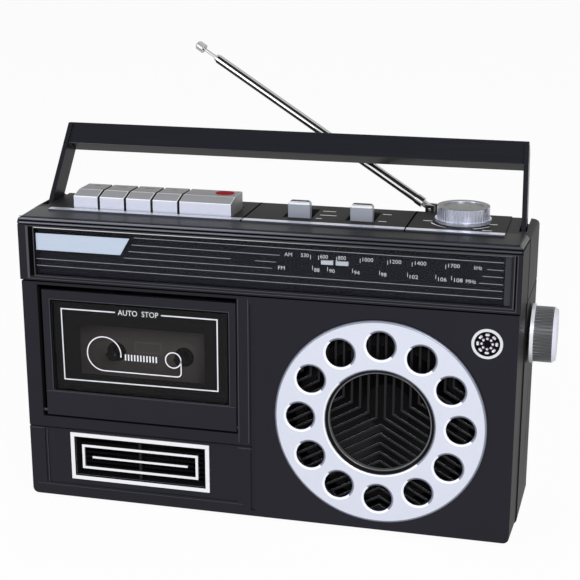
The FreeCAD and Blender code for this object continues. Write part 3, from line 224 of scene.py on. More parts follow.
def dress(node, paint, bevel, segments=2, sharp=28.0, regions=(), clamp=True, profile=0.6):
    """A copy of a CAD node with rounded edges and its own material, in place of the node.

    Each region is a paint and a test of a face's centre and normal that says where it goes.
    """
    mesh = frame["nodes"][node].data.copy()
    form = bmesh.new()
    form.from_mesh(mesh)
    bmesh.ops.remove_doubles(form, verts=form.verts, dist=MERGE_DISTANCE)
    bmesh.ops.dissolve_limit(form, angle_limit=FLAT_ANGLE, verts=form.verts, edges=form.edges)
    finish_form(form, mesh, bevel, segments, sharp, clamp, profile)
    piece = add_piece(f"{node}_skin", mesh, paint, body_of(node), slot_of(node))
    for number, (other, test) in enumerate(regions, start=1):
        mesh.materials.append(other.material)
        for face in mesh.polygons:
            if test(face.center, face.normal):
                face.material_index = number
    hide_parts(node)


def span(start, end, origin=0.0):
    """Two limits along an axis, given in millimetres from an origin."""
    return (origin + start * MM, origin + end * MM)


def block(name, x, y, z, paint, body, slot, bevel=0.0):
    """A box between limits, with its edges rounded by the width given."""
    verts = [(a, b, c) for a in x for b in y for c in z]
    faces = [(0, 1, 3, 2), (4, 6, 7, 5), (0, 4, 5, 1), (2, 3, 7, 6), (0, 2, 6, 4), (1, 5, 7, 3)]
    add_mesh(name, verts, faces, paint, body, slot, bevel=bevel)


def ring_frame(name, outer, inner, y, paint, body, slot, bevel=0.0):
    """A rectangular frame facing the front: outer and inner are left, right, low and high."""
    verts = []
    for level in y:
        for left, right, low, high in (outer, inner):
            verts += [(left, level, low), (right, level, low), (right, level, high), (left, level, high)]
    faces = []
    for corner in range(4):
        after = (corner + 1) % 4
        faces.append((corner, after, 4 + after, 4 + corner))
        faces.append((8 + corner, 12 + corner, 12 + after, 8 + after))
        faces.append((corner, 8 + corner, 8 + after, after))
        faces.append((4 + corner, 4 + after, 12 + after, 12 + corner))
    add_mesh(name, verts, faces, paint, body, slot, bevel=bevel)


def outline_of(node):
    """The limits of a node seen from the front: left, right, low and high."""
    low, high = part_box(node)
    return (low[0], high[0], low[2], high[2])


def grown(limits, left, right, low, high):
    """An outline moved outwards by millimetres on each side."""
    return (limits[0] - left * MM, limits[1] + right * MM, limits[2] - low * MM, limits[3] + high * MM)


case_front = plastic("case_front", (0.0075, 0.0075, 0.0115), 0.25, specular=0.17)
# A lighter copy of the front's plastic, used as a painted highlight on edges and thin lines.
case_edge = plastic("case_edge", (0.030, 0.030, 0.037), 0.2, specular=0.4)
# Top faces get a warmer tone than the bluish front, as a painted tone of light, and are lighter towards the
# left as a painted sheen.
case_top = plastic("case_top", (0.0085, 0.0083, 0.0100), 0.36, specular=0.05)
case_top.tint(case_top.along("X", 0.05, -0.02), (0.050, 0.050, 0.058))
case_rear = plastic("case_rear", (0.0085, 0.0080, 0.0085), 0.5, specular=0.07)
# Near-black paint for grooves, gaps and dark lines, standing in as painted shade.
groove_black = plastic("groove_black", (0.002, 0.002, 0.002), 0.9, grain=0.0, specular=0.0)
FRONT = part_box("front_cabinet")[0][1]
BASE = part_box("front_cabinet")[0][2]
CASE_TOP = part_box("front_cabinet")[1][2]
# The middle height of each groove above the underside, and half its width, in millimetres.
GROOVES = ((169.7, 0.4), (171.6, 0.4), (135.7, 0.6))


def in_groove(centre, normal):
    """The floors and walls of the grooves that run across the front, painted near black as shade."""
    return centre.y > FRONT + 0.1 * MM and any(
        abs(centre.z - BASE - level * MM) < half * MM for level, half in GROOVES)


def bright_edge(centre, normal):
    """The narrow faces of edges that look both to the front and up, which get a painted highlight."""
    return normal.z > 0.25 and -0.97 < normal.y < -0.2


# Narrow edge faces that look up and to the front are painted lighter, as a painted highlight.
dress("front_cabinet", case_front, bevel=0.0003, regions=[
    (case_top, lambda centre, normal: normal.z > 0.9 and centre.z > BASE + 0.17),
    (case_edge, bright_edge),
    (case_rear, lambda centre, normal: abs(normal.x) > 0.9 and centre.y > FRONT + 1.0 * MM),
    (groove_black, in_groove)])
dress("rear_cabinet", case_rear, bevel=0.0005)
dress("battery_door", case_rear, bevel=0.0003)

# A double moulded bead runs round the dial, painted lighter as a highlight, with painted shade in the gap at
# each end.
lens = outline_of("dial_lens")
bead = plastic("surround_bead", (0.035, 0.035, 0.042), 0.2, specular=0.5)
ring_frame("dial_surround_outer", grown(lens, 4.9, 3.3, 2.6, 0.62), grown(lens, 3.5, 2.9, 2.2, 0.3),
           span(-0.4, 0.3, FRONT), bead, "cabinet", "case_plastic", bevel=0.0001)
ring_frame("dial_surround_inner", grown(lens, 0.4, 1.6, 1.1, 0.28), grown(lens, 0.0, 1.1, 0.7, 0.0),
           span(-0.3, 0.3, FRONT), bead, "cabinet", "case_plastic", bevel=0.0001)
gap_height = (lens[2] - 0.9 * MM, lens[3] + 0.2 * MM)
block("dial_gap_left", span(-3.3, -0.7, lens[0]), span(-0.05, 0.2, FRONT), gap_height, groove_black,
      "cabinet", "case_plastic")
block("dial_gap_right", span(1.9, 2.6, lens[1]), span(-0.05, 0.2, FRONT), gap_height, groove_black,
      "cabinet", "case_plastic")

# Thin raised lines part the fields of the front, painted lighter as highlights. In millimetres: left, right,
# low and high.
EDGE_LINES = [
    (-13.2, -12.8, 46.0, 133.5), (-7.3, -6.9, 46.0, 133.5), (-13.5, -5.5, 42.4, 42.8),
    (-144.0, -136.1, 43.0, 43.4), (-134.0, -133.7, 8.0, 43.0), (-141.5, -11.0, 6.6, 6.9),
]
DOOR_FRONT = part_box("cassette_door")[0][1]
for number, (left, right, low, high) in enumerate(EDGE_LINES):
    block(f"front_edge_{number}", span(left, right), span(-0.12, 0.1, DOOR_FRONT), span(low, high, BASE),
          case_edge, "cabinet", "case_plastic")

# Two ridges painted lighter as a highlight, brightest at the left, and a line of painted shade finish the upper
# edge, nearly as wide as the front.
ridge_light = plastic("ridge_light", (0.050, 0.050, 0.062), 0.25)
ridge_light.tint(ridge_light.along("X", 0.06, -0.02), (0.15, 0.15, 0.175))
EDGE_WIDTH = span(-144.5, 144.5)
for number, (low, high) in enumerate(((172.5, 173.6), (170.25, 171.05))):
    block(f"front_ridge_{number}", EDGE_WIDTH, span(-0.1, 0.1, FRONT), span(low, high, BASE), ridge_light,
          "cabinet", "case_plastic")
block("top_line", EDGE_WIDTH, span(0.7, 1.2, FRONT), span(-0.1, 0.04, CASE_TOP), groove_black, "cabinet",
      "case_plastic")

# ---- Dial ----
# A black printed plate behind a clear acrylic strip, let into the front shell.
# Lines, ticks and plain numbers are screen printed in off-white, and the badge is left blank.
# The pointer is a white bar that the tuning train carries along the scale.


def coat(paint, *nodes):
    """Give CAD nodes a material where their own shape is right."""
    for node in nodes:
        item = frame["nodes"][node]
        item.data.materials.clear()
        item.data.materials.append(paint.material)


def printed(name, color, roughness=0.5, scale=900.0, change=0.2):
    """Printing ink or plain lacquer, with a fine change of gloss."""
    paint = Paint(name, color, roughness)
    paint.wear(paint.noise(scale), change)
    return paint


print_white = printed("print_white", (0.50, 0.51, 0.54))
line_grey = printed("line_grey", (0.26, 0.26, 0.28))
lens_clear = Paint("lens_clear", (0.012, 0.012, 0.018), 0.08, alpha=0.15, specular=0.3)
lens_clear.wear(lens_clear.noise(30.0), 0.04)
coat(lens_clear, "dial_lens")
dial_black = plastic("dial_black", (0.007, 0.007, 0.012), 0.4, grain=0.0, specular=0.1)
coat(dial_black, "dial_scale")
# The lip along the top of the dial is a painted highlight, bright at the left and fading to dark at the right.
lip_bright = Paint("lip_bright", (0.55, 0.54, 0.54), 0.3)
lip_bright.tint(lip_bright.along("X", -0.04, 0.07), (0.05, 0.05, 0.055))
block("dial_lip", (lens[0], lens[1]), span(-0.1, 1.2, FRONT), span(-0.5, -0.05, lens[3]), lip_bright,
      "cabinet", "case_plastic", bevel=0.00008)
LENS_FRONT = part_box("dial_lens")[0][1]
lens_end = plastic("lens_end", (0.022, 0.022, 0.030), 0.2)
block("dial_end", span(-3.7, -0.3, lens[1]), span(-0.06, 0.0, LENS_FRONT),
      (lens[2] + 0.3 * MM, lens[3] - 0.8 * MM), lens_end, "cabinet", "dial_black")
PRINT_Y = LENS_FRONT - 0.04 * MM


def at(x, height):
    """A point on the front, in millimetres across and above the body's underside."""
    return (x * MM, BASE + height * MM)


def words(name, text, spot, y, size, width, paint, body, slot):
    """Plain printed characters, centred on a point of the front and as wide as asked in millimetres."""
    curve = bpy.data.curves.new(name, "FONT")
    curve.body = text
    curve.size = size * MM
    curve.align_x = "CENTER"
    curve.align_y = "CENTER"
    curve.extrude = 0.02 * MM
    curve.resolution_u = 3
    lettering = bpy.data.objects.new(name, curve)
    bpy.context.scene.collection.objects.link(lettering)
    bpy.context.view_layer.update()
    lettering.scale = (width * MM / lettering.dimensions.x, 1, 1)
    lettering.location = (spot[0], y, spot[1])
    lettering.rotation_euler = (math.pi / 2, 0, 0)
    bpy.context.view_layer.update()
    mesh = bpy.data.meshes.new_from_object(lettering)
    mesh.transform(lettering.matrix_world)
    bpy.data.objects.remove(lettering)
    add_piece(name, mesh, paint, body, slot, weighted=False)


# Each line in millimetres: its left and right ends, and its height at each of them.
LINES = [
    (-74.4, 135.1, 165.0, 164.0), (-76.0, 11.3, 160.8, 160.3), (126.6, 135.1, 159.8, 159.7),
    (-78.0, -16.9, 156.8, 156.4), (-2.9, 9.3, 156.3, 156.2), (124.1, 135.1, 155.9, 155.8),
    (-80.9, 6.9, 152.8, 152.5), (122.4, 135.1, 151.9, 151.8), (-135.2, 135.1, 149.0, 148.1),
    (-135.2, 135.1, 145.0, 144.0),
]
LINE_HALF = 0.16
for number, (left, right, *heights) in enumerate(LINES):
    corners = [at(x, height + side * LINE_HALF) for side, ends in (
        (-1, (left, right)), (1, (right, left))) for x, height in zip(ends, heights[::-side])]
    add_mesh(f"dial_line_{number}", [(x, PRINT_Y, z) for x, z in corners], [(0, 1, 2, 3)], line_grey,
             "cabinet", "dial_black")
# Each label in millimetres: its middle, its height and its width.
LABELS = [
    ("AM", 16.4, 161.0, 4.4), ("FM", 12.4, 153.0, 3.8), ("530", 25.7, 161.1, 4.4), ("600", 36.6, 161.0, 4.4),
    ("800", 46.8, 160.9, 4.4), ("1000", 61.0, 160.8, 5.9), ("1200", 76.4, 160.7, 6.2),
    ("1400", 90.1, 160.7, 6.2), ("1700", 108.3, 160.5, 6.2), ("kHz", 121.5, 160.3, 4.2),
    ("88", 32.6, 153.1, 3.0), ("90", 41.2, 153.1, 3.1), ("94", 55.2, 153.1, 3.1), ("98", 70.2, 153.0, 3.1),
    ("102", 86.6, 152.8, 4.6), ("106", 102.2, 152.5, 4.6), ("108", 110.9, 152.6, 4.6),
    ("MHz", 117.9, 152.4, 5.4),
]
for text, x, height, width in LABELS:
    words(f"dial_text_{text}", text, at(x, height), PRINT_Y, 3.1, width, print_white, "cabinet", "dial_black")
# The low and high ends of the ticks at the left of each scale, which sink a little to the right.
TICKS = {
    "am": (159.2, 161.7, (29.0, 33.6, 43.8, 57.0, 72.3, 85.8, 104.1)),
    "fm": (153.1, 155.5, (30.2, 38.7, 52.8, 67.9, 83.4, 98.9, 107.5)),
}
TICK_HALF, TICK_DROP = 0.15, 0.1
for band, (low, high, places) in TICKS.items():
    for number, x in enumerate(places):
        drop = number * TICK_DROP
        block(f"dial_tick_{band}_{number}", span(x - TICK_HALF, x + TICK_HALF), span(0.0, 0.02, PRINT_Y),
              span(low - drop, high - drop, BASE), print_white, "cabinet", "dial_black")

badge_paint = printed("badge_silver", (0.46, 0.52, 0.62), roughness=0.4, scale=2500.0, change=0.25)
badge_paint.tint(badge_paint.noise(2500.0), (0.38, 0.44, 0.53), 0.6)
coat(badge_paint, "dial_badge")

pointer_white = printed("pointer_white", (0.78, 0.82, 0.90), roughness=0.35, scale=200.0, change=0.1)
pointer_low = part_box("dial_pointer")[0]
BAR_TOP = pointer_low[2] + 2.6 * MM
dress("dial_pointer", pointer_white, bevel=0.0002,
      regions=[(dial_black, lambda centre, normal: centre.z > BAR_TOP)])
block("pointer_gap", span(41.5, 42.8), span(-0.3, 0.1, pointer_low[1]),
      (pointer_low[2] - 0.1 * MM, BAR_TOP + 0.1 * MM), dial_black, body_of("dial_pointer"),
      slot_of("dial_pointer"))

# ---- Cassette door ----
# A moulded door that hinges at its lower edge, with a smoked acrylic window let into it.
# The window's border, words and tape-path figure are printed in white on its face.

door_paint = plastic("door_plastic", (0.0085, 0.0085, 0.0128), 0.25, specular=0.17)
# Door edges that look to the front and up, and to the front and right, get the painted highlight.
dress("cassette_door", door_paint, bevel=0.0004, regions=[
    (case_edge, bright_edge),
    (case_edge, lambda centre, normal: normal.x > 0.25 and -0.97 < normal.y < -0.2)])
window_paint = Paint("window_smoke", (0.005, 0.0045, 0.0045), 0.09, alpha=0.42, specular=0.14)
window_paint.wear(window_paint.noise(40.0), 0.04)
coat(window_paint, "cassette_window")
window = outline_of("cassette_window")
WINDOW_FRONT, WINDOW_BACK = (corner[1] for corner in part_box("cassette_window"))
DOOR_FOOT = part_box("cassette_door")[0][2]
# The door's sides, and how far its lower band stands out, in millimetres.
DOOR_LEFT, DOOR_RIGHT = -132.8, -14.5
BAND_OUT = 0.4
block("door_band", span(DOOR_LEFT + 0.2, DOOR_RIGHT - 0.2), span(-BAND_OUT, 0.4, DOOR_FRONT),
      (DOOR_FOOT + 1.6 * MM, window[2] - 0.4 * MM), door_paint, "cassette_door", "case_plastic",
      bevel=0.00025)
# A thin line of painted shade runs round the window where it meets the door.
ring_frame("window_bead", grown(window, 0.7, 0.7, 0.3, 0.7), grown(window, 0.1, 0.1, 0.0, 0.1),
           span(-0.2, 0.2, DOOR_FRONT), groove_black, "cassette_door", "case_plastic", bevel=0.00005)
# A strip along the top of the door's lower band and a thin frame round the window are painted lighter as
# highlights.
block("door_band_edge", span(DOOR_LEFT + 0.3, DOOR_RIGHT - 0.3),
      span(-BAND_OUT - 0.1, -BAND_OUT + 0.2, DOOR_FRONT), span(-0.9, -0.5, window[2]), case_edge,
      "cassette_door", "case_plastic", bevel=0.00005)
ring_frame("door_inset", grown(window, 1.4, 1.4, 0.3, 1.4), grown(window, 1.0, 1.0, 0.0, 1.0),
           span(-0.25, 0.2, DOOR_FRONT), case_edge, "cassette_door", "case_plastic", bevel=0.00005)
mask_paint = plastic("window_mask", (0.006, 0.006, 0.006), 0.6, grain=0.0)
ring_frame("window_mask", grown(window, -0.6, -0.6, -0.6, -0.6),
           (*span(-110.8, -34.0), *span(79.5, 110.2, BASE)), span(-0.4, -0.2, WINDOW_BACK), mask_paint,
           "cassette_door", "smoked_window")


def strip(name, points, width, y, paint, body, slot, closed=False):
    """A flat printed line through points on a face that looks to the front."""
    count = len(points)
    verts = []
    for index, (x, z) in enumerate(points):
        before = points[index - 1] if index or closed else points[index]
        after = points[(index + 1) % count] if index + 1 < count or closed else points[index]
        first = Vector((x - before[0], z - before[1]))
        second = Vector((after[0] - x, after[1] - z))
        coming = first.normalized() if first.length else second.normalized()
        going = second.normalized() if second.length else first.normalized()
        run = (coming + going).normalized()
        side = Vector((-run.y, run.x))
        reach = width / 2
        if first.length and second.length:
            reach /= max(0.4, abs(side.dot(Vector((-coming.y, coming.x)))))
        verts += [(x + side.x * reach, y, z + side.y * reach), (x - side.x * reach, y, z - side.y * reach)]
    faces = []
    for index in range(count if closed else count - 1):
        after = (index + 1) % count
        faces.append((2 * index, 2 * after, 2 * after + 1, 2 * index + 1))
    add_mesh(name, verts, faces, paint, body, slot)


def arc(centre, radius, angles):
    """Points of the front on a circle, its middle and radius in millimetres."""
    return [at(centre[0] + radius * math.cos(math.radians(angle)),
               centre[1] + radius * math.sin(math.radians(angle))) for angle in angles]


PRINT_WIDTH = 0.7 * MM
WINDOW_PRINT = WINDOW_FRONT - 0.03 * MM
window_white = printed("window_white", (0.72, 0.72, 0.75), roughness=0.45)
border = [at(-87.6, 119.6), at(-121.2, 119.5), at(-120.9, 75.7), at(-25.7, 76.3), at(-25.6, 119.8),
          at(-59.3, 119.8)]
strip("window_border", border, 0.72 * MM, WINDOW_PRINT, window_white, "cassette_door", "smoked_window")
words("window_words", "AUTO  STOP", at(-73.4, 119.5), WINDOW_PRINT, 4.7, 24.8, window_white, "cassette_door",
      "smoked_window")
# The tape-path figure: two rolls, the run between them with a rounded corner, and a row of ticks.
BIG_ROLL, BIG_RADIUS = (-95.3, 93.5), 10.5
SMALL_ROLL, SMALL_RADIUS = (-52.6, 93.0), 4.7
CORNER = 2.5
low_run = BIG_ROLL[1] - BIG_RADIUS
right_run = SMALL_ROLL[0] + SMALL_RADIUS
tape_path = arc(BIG_ROLL, BIG_RADIUS, range(-8, 271, 6))
tape_path += arc((right_run - CORNER, low_run + CORNER), CORNER, range(-90, 1, 15))
tape_path.append(at(right_run, SMALL_ROLL[1]))
strip("tape_path", tape_path, PRINT_WIDTH, WINDOW_PRINT, window_white, "cassette_door", "smoked_window")
strip("tape_roll", arc(SMALL_ROLL, SMALL_RADIUS, range(0, 360, 10)), PRINT_WIDTH, WINDOW_PRINT, window_white,
      "cassette_door", "smoked_window", closed=True)
TICK_START, TICK_STEP, TICK_MIDDLE = -82.0, 1.9, 92.4
for number in range(11):
    x = TICK_START + TICK_STEP * number
    block(f"tape_tick_{number}", span(x - 0.42, x + 0.42), span(-0.02, 0.0, WINDOW_PRINT),
          span(TICK_MIDDLE - 1.9, TICK_MIDDLE + 1.9, BASE), window_white, "cassette_door", "smoked_window")

# ---- Tape deck ----
# A plated steel chassis with moulded reel posts, a turned capstan and flywheel, and a rubber belt.
# It is screwed in behind the door, and only its front is seen through the window.
# The board, transformer and other works beside it keep their plain shapes.


def metal(name, color, roughness, scale=900.0, metallic=0.9, change=0.12, stretch=(1, 1, 1), **settings):
    """Plated, turned or silver-painted surface with a fine change of gloss over it."""
    paint = Paint(name, color, roughness, metallic=metallic, **settings)
    grain = paint.noise(scale, stretch=stretch)
    paint.wear(grain, change)
    paint.tint(grain, tuple(channel * 0.9 for channel in color))
    return paint


def middle_of(node, axes):
    """The middle of a node's box along the axes named, such as XZ."""
    low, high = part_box(node)
    return [(low["XYZ".index(axis)] + high["XYZ".index(axis)]) / 2 for axis in axes]


def turned_ring(name, node, profile, front, paint, body, slot, steps=96):
    """A ring about the middle of a node, turned about an axis that faces the front.

    The closed profile has radii, and depths behind the face given, in millimetres.
    """
    middle = middle_of(node, "XZ")
    count = len(profile)
    verts = []
    for step in range(steps):
        angle = 2 * math.pi * step / steps
        verts += [(middle[0] + radius * MM * math.cos(angle), front + depth * MM,
                   middle[1] + radius * MM * math.sin(angle)) for radius, depth in profile]
    faces = []
    for step in range(steps):
        here, there = step * count, (step + 1) % steps * count
        for side in range(count):
            other = (side + 1) % count
            faces.append((here + side, there + side, there + other, here + other))
    add_mesh(name, verts, faces, paint, body, slot, sharp=50.0)


deck_steel = metal("deck_steel", (0.10, 0.10, 0.105), 0.4, scale=60.0, metallic=0.7, change=0.2)
coat(deck_steel, "flywheel", "deck_motor", "key_axle", "case_screws", "tuning_shaft", "battery_contacts")
deck_black = metal("deck_black", (0.004, 0.004, 0.004), 0.6, scale=60.0, metallic=0.2, change=0.2,
                   specular=0.05)
coat(deck_black, "deck_chassis", "head_bridge", "speaker_frame")
reel_plastic = plastic("reel_plastic", (0.03, 0.028, 0.027), 0.4)
coat(reel_plastic, "supply_spindle", "takeup_spindle", "tuning_drum", "tuning_capacitor", "slide_switches",
     "volume_control", "mains_inlet")
soft_rubber = plastic("soft_rubber", (0.02, 0.02, 0.021), 0.75)
coat(soft_rubber, "feet", "drive_belt")
roller_rubber = plastic("roller_rubber", (0.004, 0.004, 0.004), 0.8, specular=0.03)
coat(roller_rubber, "pinch_roller")
pulley_brass = metal("pulley_brass", (0.55, 0.40, 0.16), 0.3, scale=80.0, metallic=1.0)
coat(pulley_brass, "motor_pulley")
board_paint = plastic("board_paint", (0.22, 0.12, 0.04), 0.5)
coat(board_paint, "main_board")
core_paint = plastic("core_paint", (0.03, 0.03, 0.03), 0.5)
coat(core_paint, "power_transformer")

# A grey fascia and the outline of a rating label lie in front of the chassis.
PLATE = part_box("deck_chassis")[0][1]
deck_back = plastic("deck_back", (0.30, 0.275, 0.26), 0.5)
deck_label = plastic("deck_label", (0.42, 0.39, 0.37), 0.5)
block("deck_fascia", span(-122.0, -22.5), span(-1.7, -0.8, PLATE), span(60.0, 119.0, BASE), deck_back,
      "cabinet", "inner_plastic")
rating = (*span(-81.5, -65.2), *span(90.5, 97.2, BASE))
ring_frame("deck_rating", rating, grown(rating, -0.5, -0.5, -0.5, -0.5), span(-1.9, -1.6, PLATE), deck_label,
           "cabinet", "inner_plastic")
spindle_rim = [(10.1, -1.8), (10.1, -2.0), (6.0, -2.0), (6.0, -1.8)]
for name in ("supply_spindle", "takeup_spindle"):
    turned_ring(f"{name}_rim", name, spindle_rim, PLATE, deck_back, body_of(name), slot_of(name), steps=48)
block("spindle_dot", span(-91.8, -91.0), span(-30.2, -29.9), span(90.4, 91.2, BASE), print_white,
      body_of("supply_spindle"), slot_of("supply_spindle"))

# ---- Vent ----
# A chrome-plated frame round a plated bar and ring, over a black louvred backing.
# The frame clips to the lower front panel.

chrome = metal("vent_chrome", (0.92, 0.92, 0.96), 0.2, scale=120.0, metallic=0.8, change=0.06)
grille_black = plastic("grille_black", (0.0035, 0.003, 0.0035), 0.6, specular=0.02)
dress("vent_frame", chrome, bevel=0.00025)
vent = outline_of("vent_frame")
VENT_BORDER = 3.0
ring_frame("vent_edge", grown(vent, *[0.5 - VENT_BORDER] * 4), grown(vent, *[-0.1 - VENT_BORDER] * 4),
           span(-0.1, 0.4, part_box("vent_frame")[0][1]), grille_black, "cabinet", slot_of("vent_frame"))
vent_dark = plastic("vent_dark", (0.012, 0.010, 0.013), 0.4, specular=0.1)
INSERT_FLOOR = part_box("vent_insert")[0][1] + 0.95 * MM
dress("vent_insert", chrome, bevel=0.00015,
      regions=[(vent_dark, lambda centre, normal: centre.y > INSERT_FLOOR)])
coat(grille_black, "vent_grille")

# ---- Speaker ----
# A silver-painted ring with twelve holes over a black moulded grille with ribs in three directions.
# The driver behind it has a stamped frame and a paper cone, and a black sleeve lines the opening.

ring_lacquer = {"scale": 1800.0, "metallic": 0.35, "change": 0.16, "coat": 0.1, "coat_roughness": 0.25}
silver = metal("ring_silver", (0.66, 0.68, 0.77), 0.38, **ring_lacquer)
silver.bump(silver.noise(2600.0), 0.04, 0.05 * MM)
painted_rim_shade = metal("ring_rim", (0.24, 0.25, 0.31), 0.34, **ring_lacquer)
painted_rim_highlight = metal("ring_glint", (0.93, 0.94, 1.0), 0.3, **ring_lacquer)
ring_low, ring_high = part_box("speaker_ring")
ring_x, ring_z = middle_of("speaker_ring", "XZ")
RIM_START = (ring_high[0] - ring_low[0]) / 2 - 1.3 * MM


def on_ring_edge(centre, normal, outside):
    """Whether a face is on the rounded edge of the ring's outside, or of one of its openings."""
    far = math.hypot(centre.x - ring_x, centre.z - ring_z) > RIM_START
    return normal.y > -0.97 and centre.y < ring_low[1] + 1.0 * MM and far == outside


def looks_up(normal):
    """Whether a face looks up and to the right rather than down and to the left."""
    return normal.x + normal.z > 0


# The ring's outer edge, and the rims of its openings that look down and left, are painted darker as shade; rims
# that look up and right get a painted highlight.
dress("speaker_ring", silver, bevel=0.0012, segments=3, clamp=False, profile=0.4, regions=[
    (painted_rim_shade, lambda centre, normal: on_ring_edge(centre, normal, True)),
    (painted_rim_shade, lambda centre, normal: on_ring_edge(centre, normal, False) and not looks_up(normal)),
    (painted_rim_highlight, lambda centre, normal: on_ring_edge(centre, normal, False) and looks_up(normal))])
rib_black = plastic("rib_black", (0.010, 0.010, 0.011), 0.24, specular=0.1)
# Rib edges that look up and to one side are painted light grey as a highlight.
rib_edge = plastic("rib_edge", (0.30, 0.30, 0.32), 0.2, specular=0.8)
dress("speaker_grille", rib_black, bevel=0.00045, profile=0.4, regions=[
    (rib_edge, lambda centre, normal: normal.z > 0.2 and abs(normal.x) > 0.1 and -0.97 < normal.y < -0.1)])

sleeve = [(31.2, 3.5), (31.2, -0.8), (30.9, -1.0), (30.7, -0.8), (30.5, 1.8), (30.0, 2.0), (29.9, 3.5)]
turned_ring("bore_sleeve", "speaker_ring", sleeve, FRONT, rib_black, "cabinet", "grille_plastic")
# The bead in the bore is painted grey, lighter than the black sleeve, as a painted highlight.
bore_bead = [(30.0, 3.5), (30.0, 1.3), (29.8, 1.0), (29.5, 0.9), (29.2, 1.0), (29.0, 1.3), (29.0, 3.5)]
bead_gloss = plastic("bead_gloss", (0.09, 0.09, 0.095), 0.15, grain=0.0, specular=0.7)
turned_ring("bore_bead", "speaker_ring", bore_bead, FRONT, bead_gloss, "cabinet", "grille_plastic")
# The cone is black paper, painted darker still as the shade inside the cabinet.
cone_paper = plastic("cone_paper", (0.003, 0.003, 0.003), 0.5, grain=0.3, specular=0.1)
coat(cone_paper, "speaker_cone")

# ---- Microphone ----
# A small turned bezel, pressed into the front, over a pierced black disc.
# Bright felt shows at the bottom of the pierced holes, and the holes' walls are painted as bright, as painted
# light in place of their shade.

mic_silver = metal("mic_silver", (0.72, 0.73, 0.75), 0.3, metallic=0.5)
dress("microphone_bezel", mic_silver, bevel=0.0003)
bezel_edge = [(7.0, -0.1), (6.2, -0.1), (6.2, 0.3), (7.0, 0.3)]
turned_ring("microphone_edge", "microphone_bezel", bezel_edge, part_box("microphone_bezel")[0][1], grille_black,
            "cabinet", slot_of("microphone_bezel"), steps=64)
mic_felt = printed("mic_felt", (0.80, 0.78, 0.82), scale=1200.0, change=0.3)
FELT_NEAR, FELT_FAR = span(0.4, 1.7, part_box("microphone_grille")[0][1])
# The felt colour covers the holes' walls as well as their floors, as painted light where shade falls.
dress("microphone_grille", grille_black, bevel=0.0001,
      regions=[(mic_felt, lambda centre, normal: FELT_NEAR < centre.y < FELT_FAR)])

# ---- Top panels and trim ----
# Three raised panels in brown-black plastic, each with a bright strip along its front edge.
# They snap into the top of the cabinet round the keys, levers and volume knob.
# Short printed marks stand beside the levers and the knob.

panel_paint = plastic("panel_plastic", (0.015, 0.0135, 0.013), 0.48, grain=0.15, specular=0.03)
for name in ("key_panel", "switch_panel", "volume_panel"):
    dress(name, panel_paint, bevel=0.0002)
trim_paint = metal("trim_silver", (0.66, 0.68, 0.76), 0.3, scale=300.0, metallic=0.5)
trim_front = metal("trim_front", (0.10, 0.105, 0.135), 0.3, scale=300.0, metallic=0.5)
# The trim's faces that look to the front are painted dark as shade.
dress("panel_trims", trim_paint, bevel=0.0002,
      regions=[(trim_front, lambda centre, normal: normal.y < -0.6)])
trim_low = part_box("panel_trims")[0]
# The gaps between the panels are filled with painted shade.
for number, (left, right) in enumerate((("key_panel", "switch_panel"), ("switch_panel", "volume_panel"))):
    left_high, right_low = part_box(left)[1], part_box(right)[0]
    block(f"panel_split_{number}", (left_high[0] - 0.1 * MM, right_low[0] + 0.1 * MM),
          (trim_low[1], left_high[1]), (trim_low[2], left_high[2] + 0.05 * MM), groove_black, "cabinet",
          "case_plastic")

mark_grey = printed("mark_grey", (0.85, 0.85, 0.85))
PANEL_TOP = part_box("key_panel")[1][2]
MARK_RISE, MARK_HALF = 0.04, 0.45
# Each mark in millimetres: its left and right ends, and its distance behind the door's face.
MARKS = [
    (25.0, 32.7, 50.5), (25.3, 35.0, 40.5), (24.8, 28.2, 32.0), (60.4, 65.5, 50.8), (60.8, 65.5, 33.2),
    (85.3, 90.4, 41.5), (122.6, 127.4, 41.0), (120.4, 125.8, 25.8),
]
for number, (left, right, depth) in enumerate(MARKS):
    block(f"panel_mark_{number}", span(left, right), span(depth - MARK_HALF, depth + MARK_HALF, DOOR_FRONT),
          span(0.0, MARK_RISE, PANEL_TOP), mark_grey, "cabinet", "case_plastic")
# Two curved wedges run round the front of the knob and thin out from left to right.
WEDGE_RADIUS, WEDGE_HALF, WEDGE_STEPS = 18.6 * MM, 0.5 * MM, 12
knob_x, knob_y = middle_of("volume_knob", "XY")
for number, (start, end) in enumerate(((204, 246), (294, 330))):
    verts, faces = [], []
    for step in range(WEDGE_STEPS + 1):
        share = step / WEDGE_STEPS
        angle = math.radians(start + (end - start) * share)
        half = WEDGE_HALF * (1 - 0.6 * share)
        for radius in (WEDGE_RADIUS - half, WEDGE_RADIUS + half):
            verts.append((knob_x + radius * math.cos(angle), knob_y + radius * math.sin(angle),
                          PANEL_TOP + MARK_RISE * MM))
        if step:
            faces.append((2 * step - 2, 2 * step - 1, 2 * step + 1, 2 * step))
    add_mesh(f"volume_mark_{number}", verts, faces, mark_grey, "cabinet", "case_plastic")

# ---- Keys ----
# Five piano keys in silver-painted plastic on one steel axle, the wide one with a red oval mark.
# Each of the four narrow ones has a plain raised symbol on its top.


def key_silver(name, color, roughness, metallic=0.3, **settings):
    """The keys' silver paint, in the painted light and shade of one side of a key."""
    return metal(name, color, roughness, scale=1200.0, metallic=metallic, **settings)


